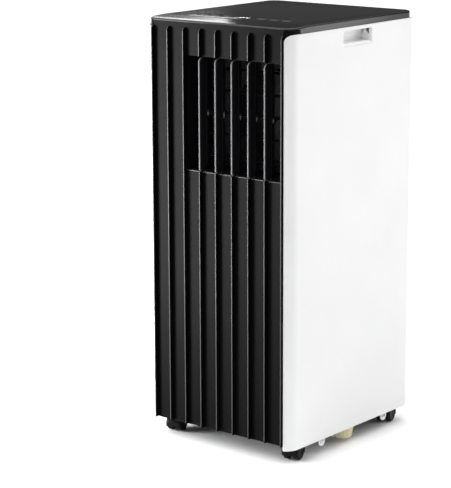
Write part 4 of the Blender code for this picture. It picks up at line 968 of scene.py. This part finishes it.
def stage_wall():
    """A pale wall far behind the floor; it lights nothing and shows in no reflection."""
    bm = bmesh.new()
    bmesh.ops.create_cone(bm, cap_ends=False, segments=64, radius1=28.0, radius2=28.0, depth=40.0)
    mesh = bpy.data.meshes.new("studio_wall")
    bm.to_mesh(mesh)
    bm.free()
    made = bpy.data.objects.new("studio_wall", mesh)
    SCENE.collection.objects.link(made)
    made.location.z = 19.5
    mesh.materials.append(glowing("studio_wall", (1.0, 1.0, 1.0), 1.1))
    for ray in ("visible_diffuse", "visible_glossy", "visible_transmission", "visible_volume_scatter", "visible_shadow"):
        setattr(made, ray, False)


stage_wall()


def softbox(name, at, aim, size, power, colour=(1, 1, 1)):
    data = bpy.data.lights.new(name, "AREA")
    data.shape = "RECTANGLE"
    data.size, data.size_y = size
    data.energy = power
    data.color = colour
    made = bpy.data.objects.new(name, data)
    SCENE.collection.objects.link(made)
    at, aim = Vector(at), Vector(aim)
    made.matrix_world = Matrix.Translation(at) @ (aim - at).to_track_quat("-Z", "Y").to_matrix().to_4x4()
    made.visible_camera = False
    return made


def box_power(radiance, size):
    return radiance * math.pi * size[0] * size[1]


for name, at, aim, size, radiance, spread in (
    ("left_front_box", (-0.64, -0.63, 0.355), (-0.06, -0.16, 0.37), (0.30, 0.70), 11.0, 100),
    ("right_rear_box", (1.85, 1.35, 0.75), (0.1, 0.0, 0.35), (1.6, 1.4), 1.5, 140),
    ("back_left_box", (-1.12, 0.94, 1.02), (-0.1, -0.14, 0.686), (0.36, 0.12), 1.6, 120),
    ("front_fill_box", (-0.80, -1.60, 1.90), (0.10, -0.15, 0.35), (1.6, 1.4), 1.2, 160),
):
    softbox(name, at, aim, size, box_power(radiance, size)).data.spread = math.radians(spread)


world = bpy.data.worlds.new("studio")
SCENE.world = world
world.use_nodes = True
sky = world.node_tree
toward = add(sky, "ShaderNodeTexCoord").outputs["Generated"]
split = add(sky, "ShaderNodeSeparateXYZ")
sky.links.new(toward, split.inputs["Vector"])
dome = add(sky, "ShaderNodeValToRGB")
dome.color_ramp.elements[0].position, dome.color_ramp.elements[1].position = 0.45, 0.85
dome.color_ramp.elements[0].color = (0.035, 0.035, 0.035, 1)
dome.color_ramp.elements[1].color = (1.0, 1.0, 1.0, 1)
sky.links.new(split.outputs["Z"], dome.inputs["Fac"])
sky.links.new(dome.outputs["Color"], sky.nodes["Background"].inputs["Color"])
sky.nodes["Background"].inputs["Strength"].default_value = 2.2
SCENE.view_settings.view_transform = "Standard"
SCENE.view_settings.look = "None"
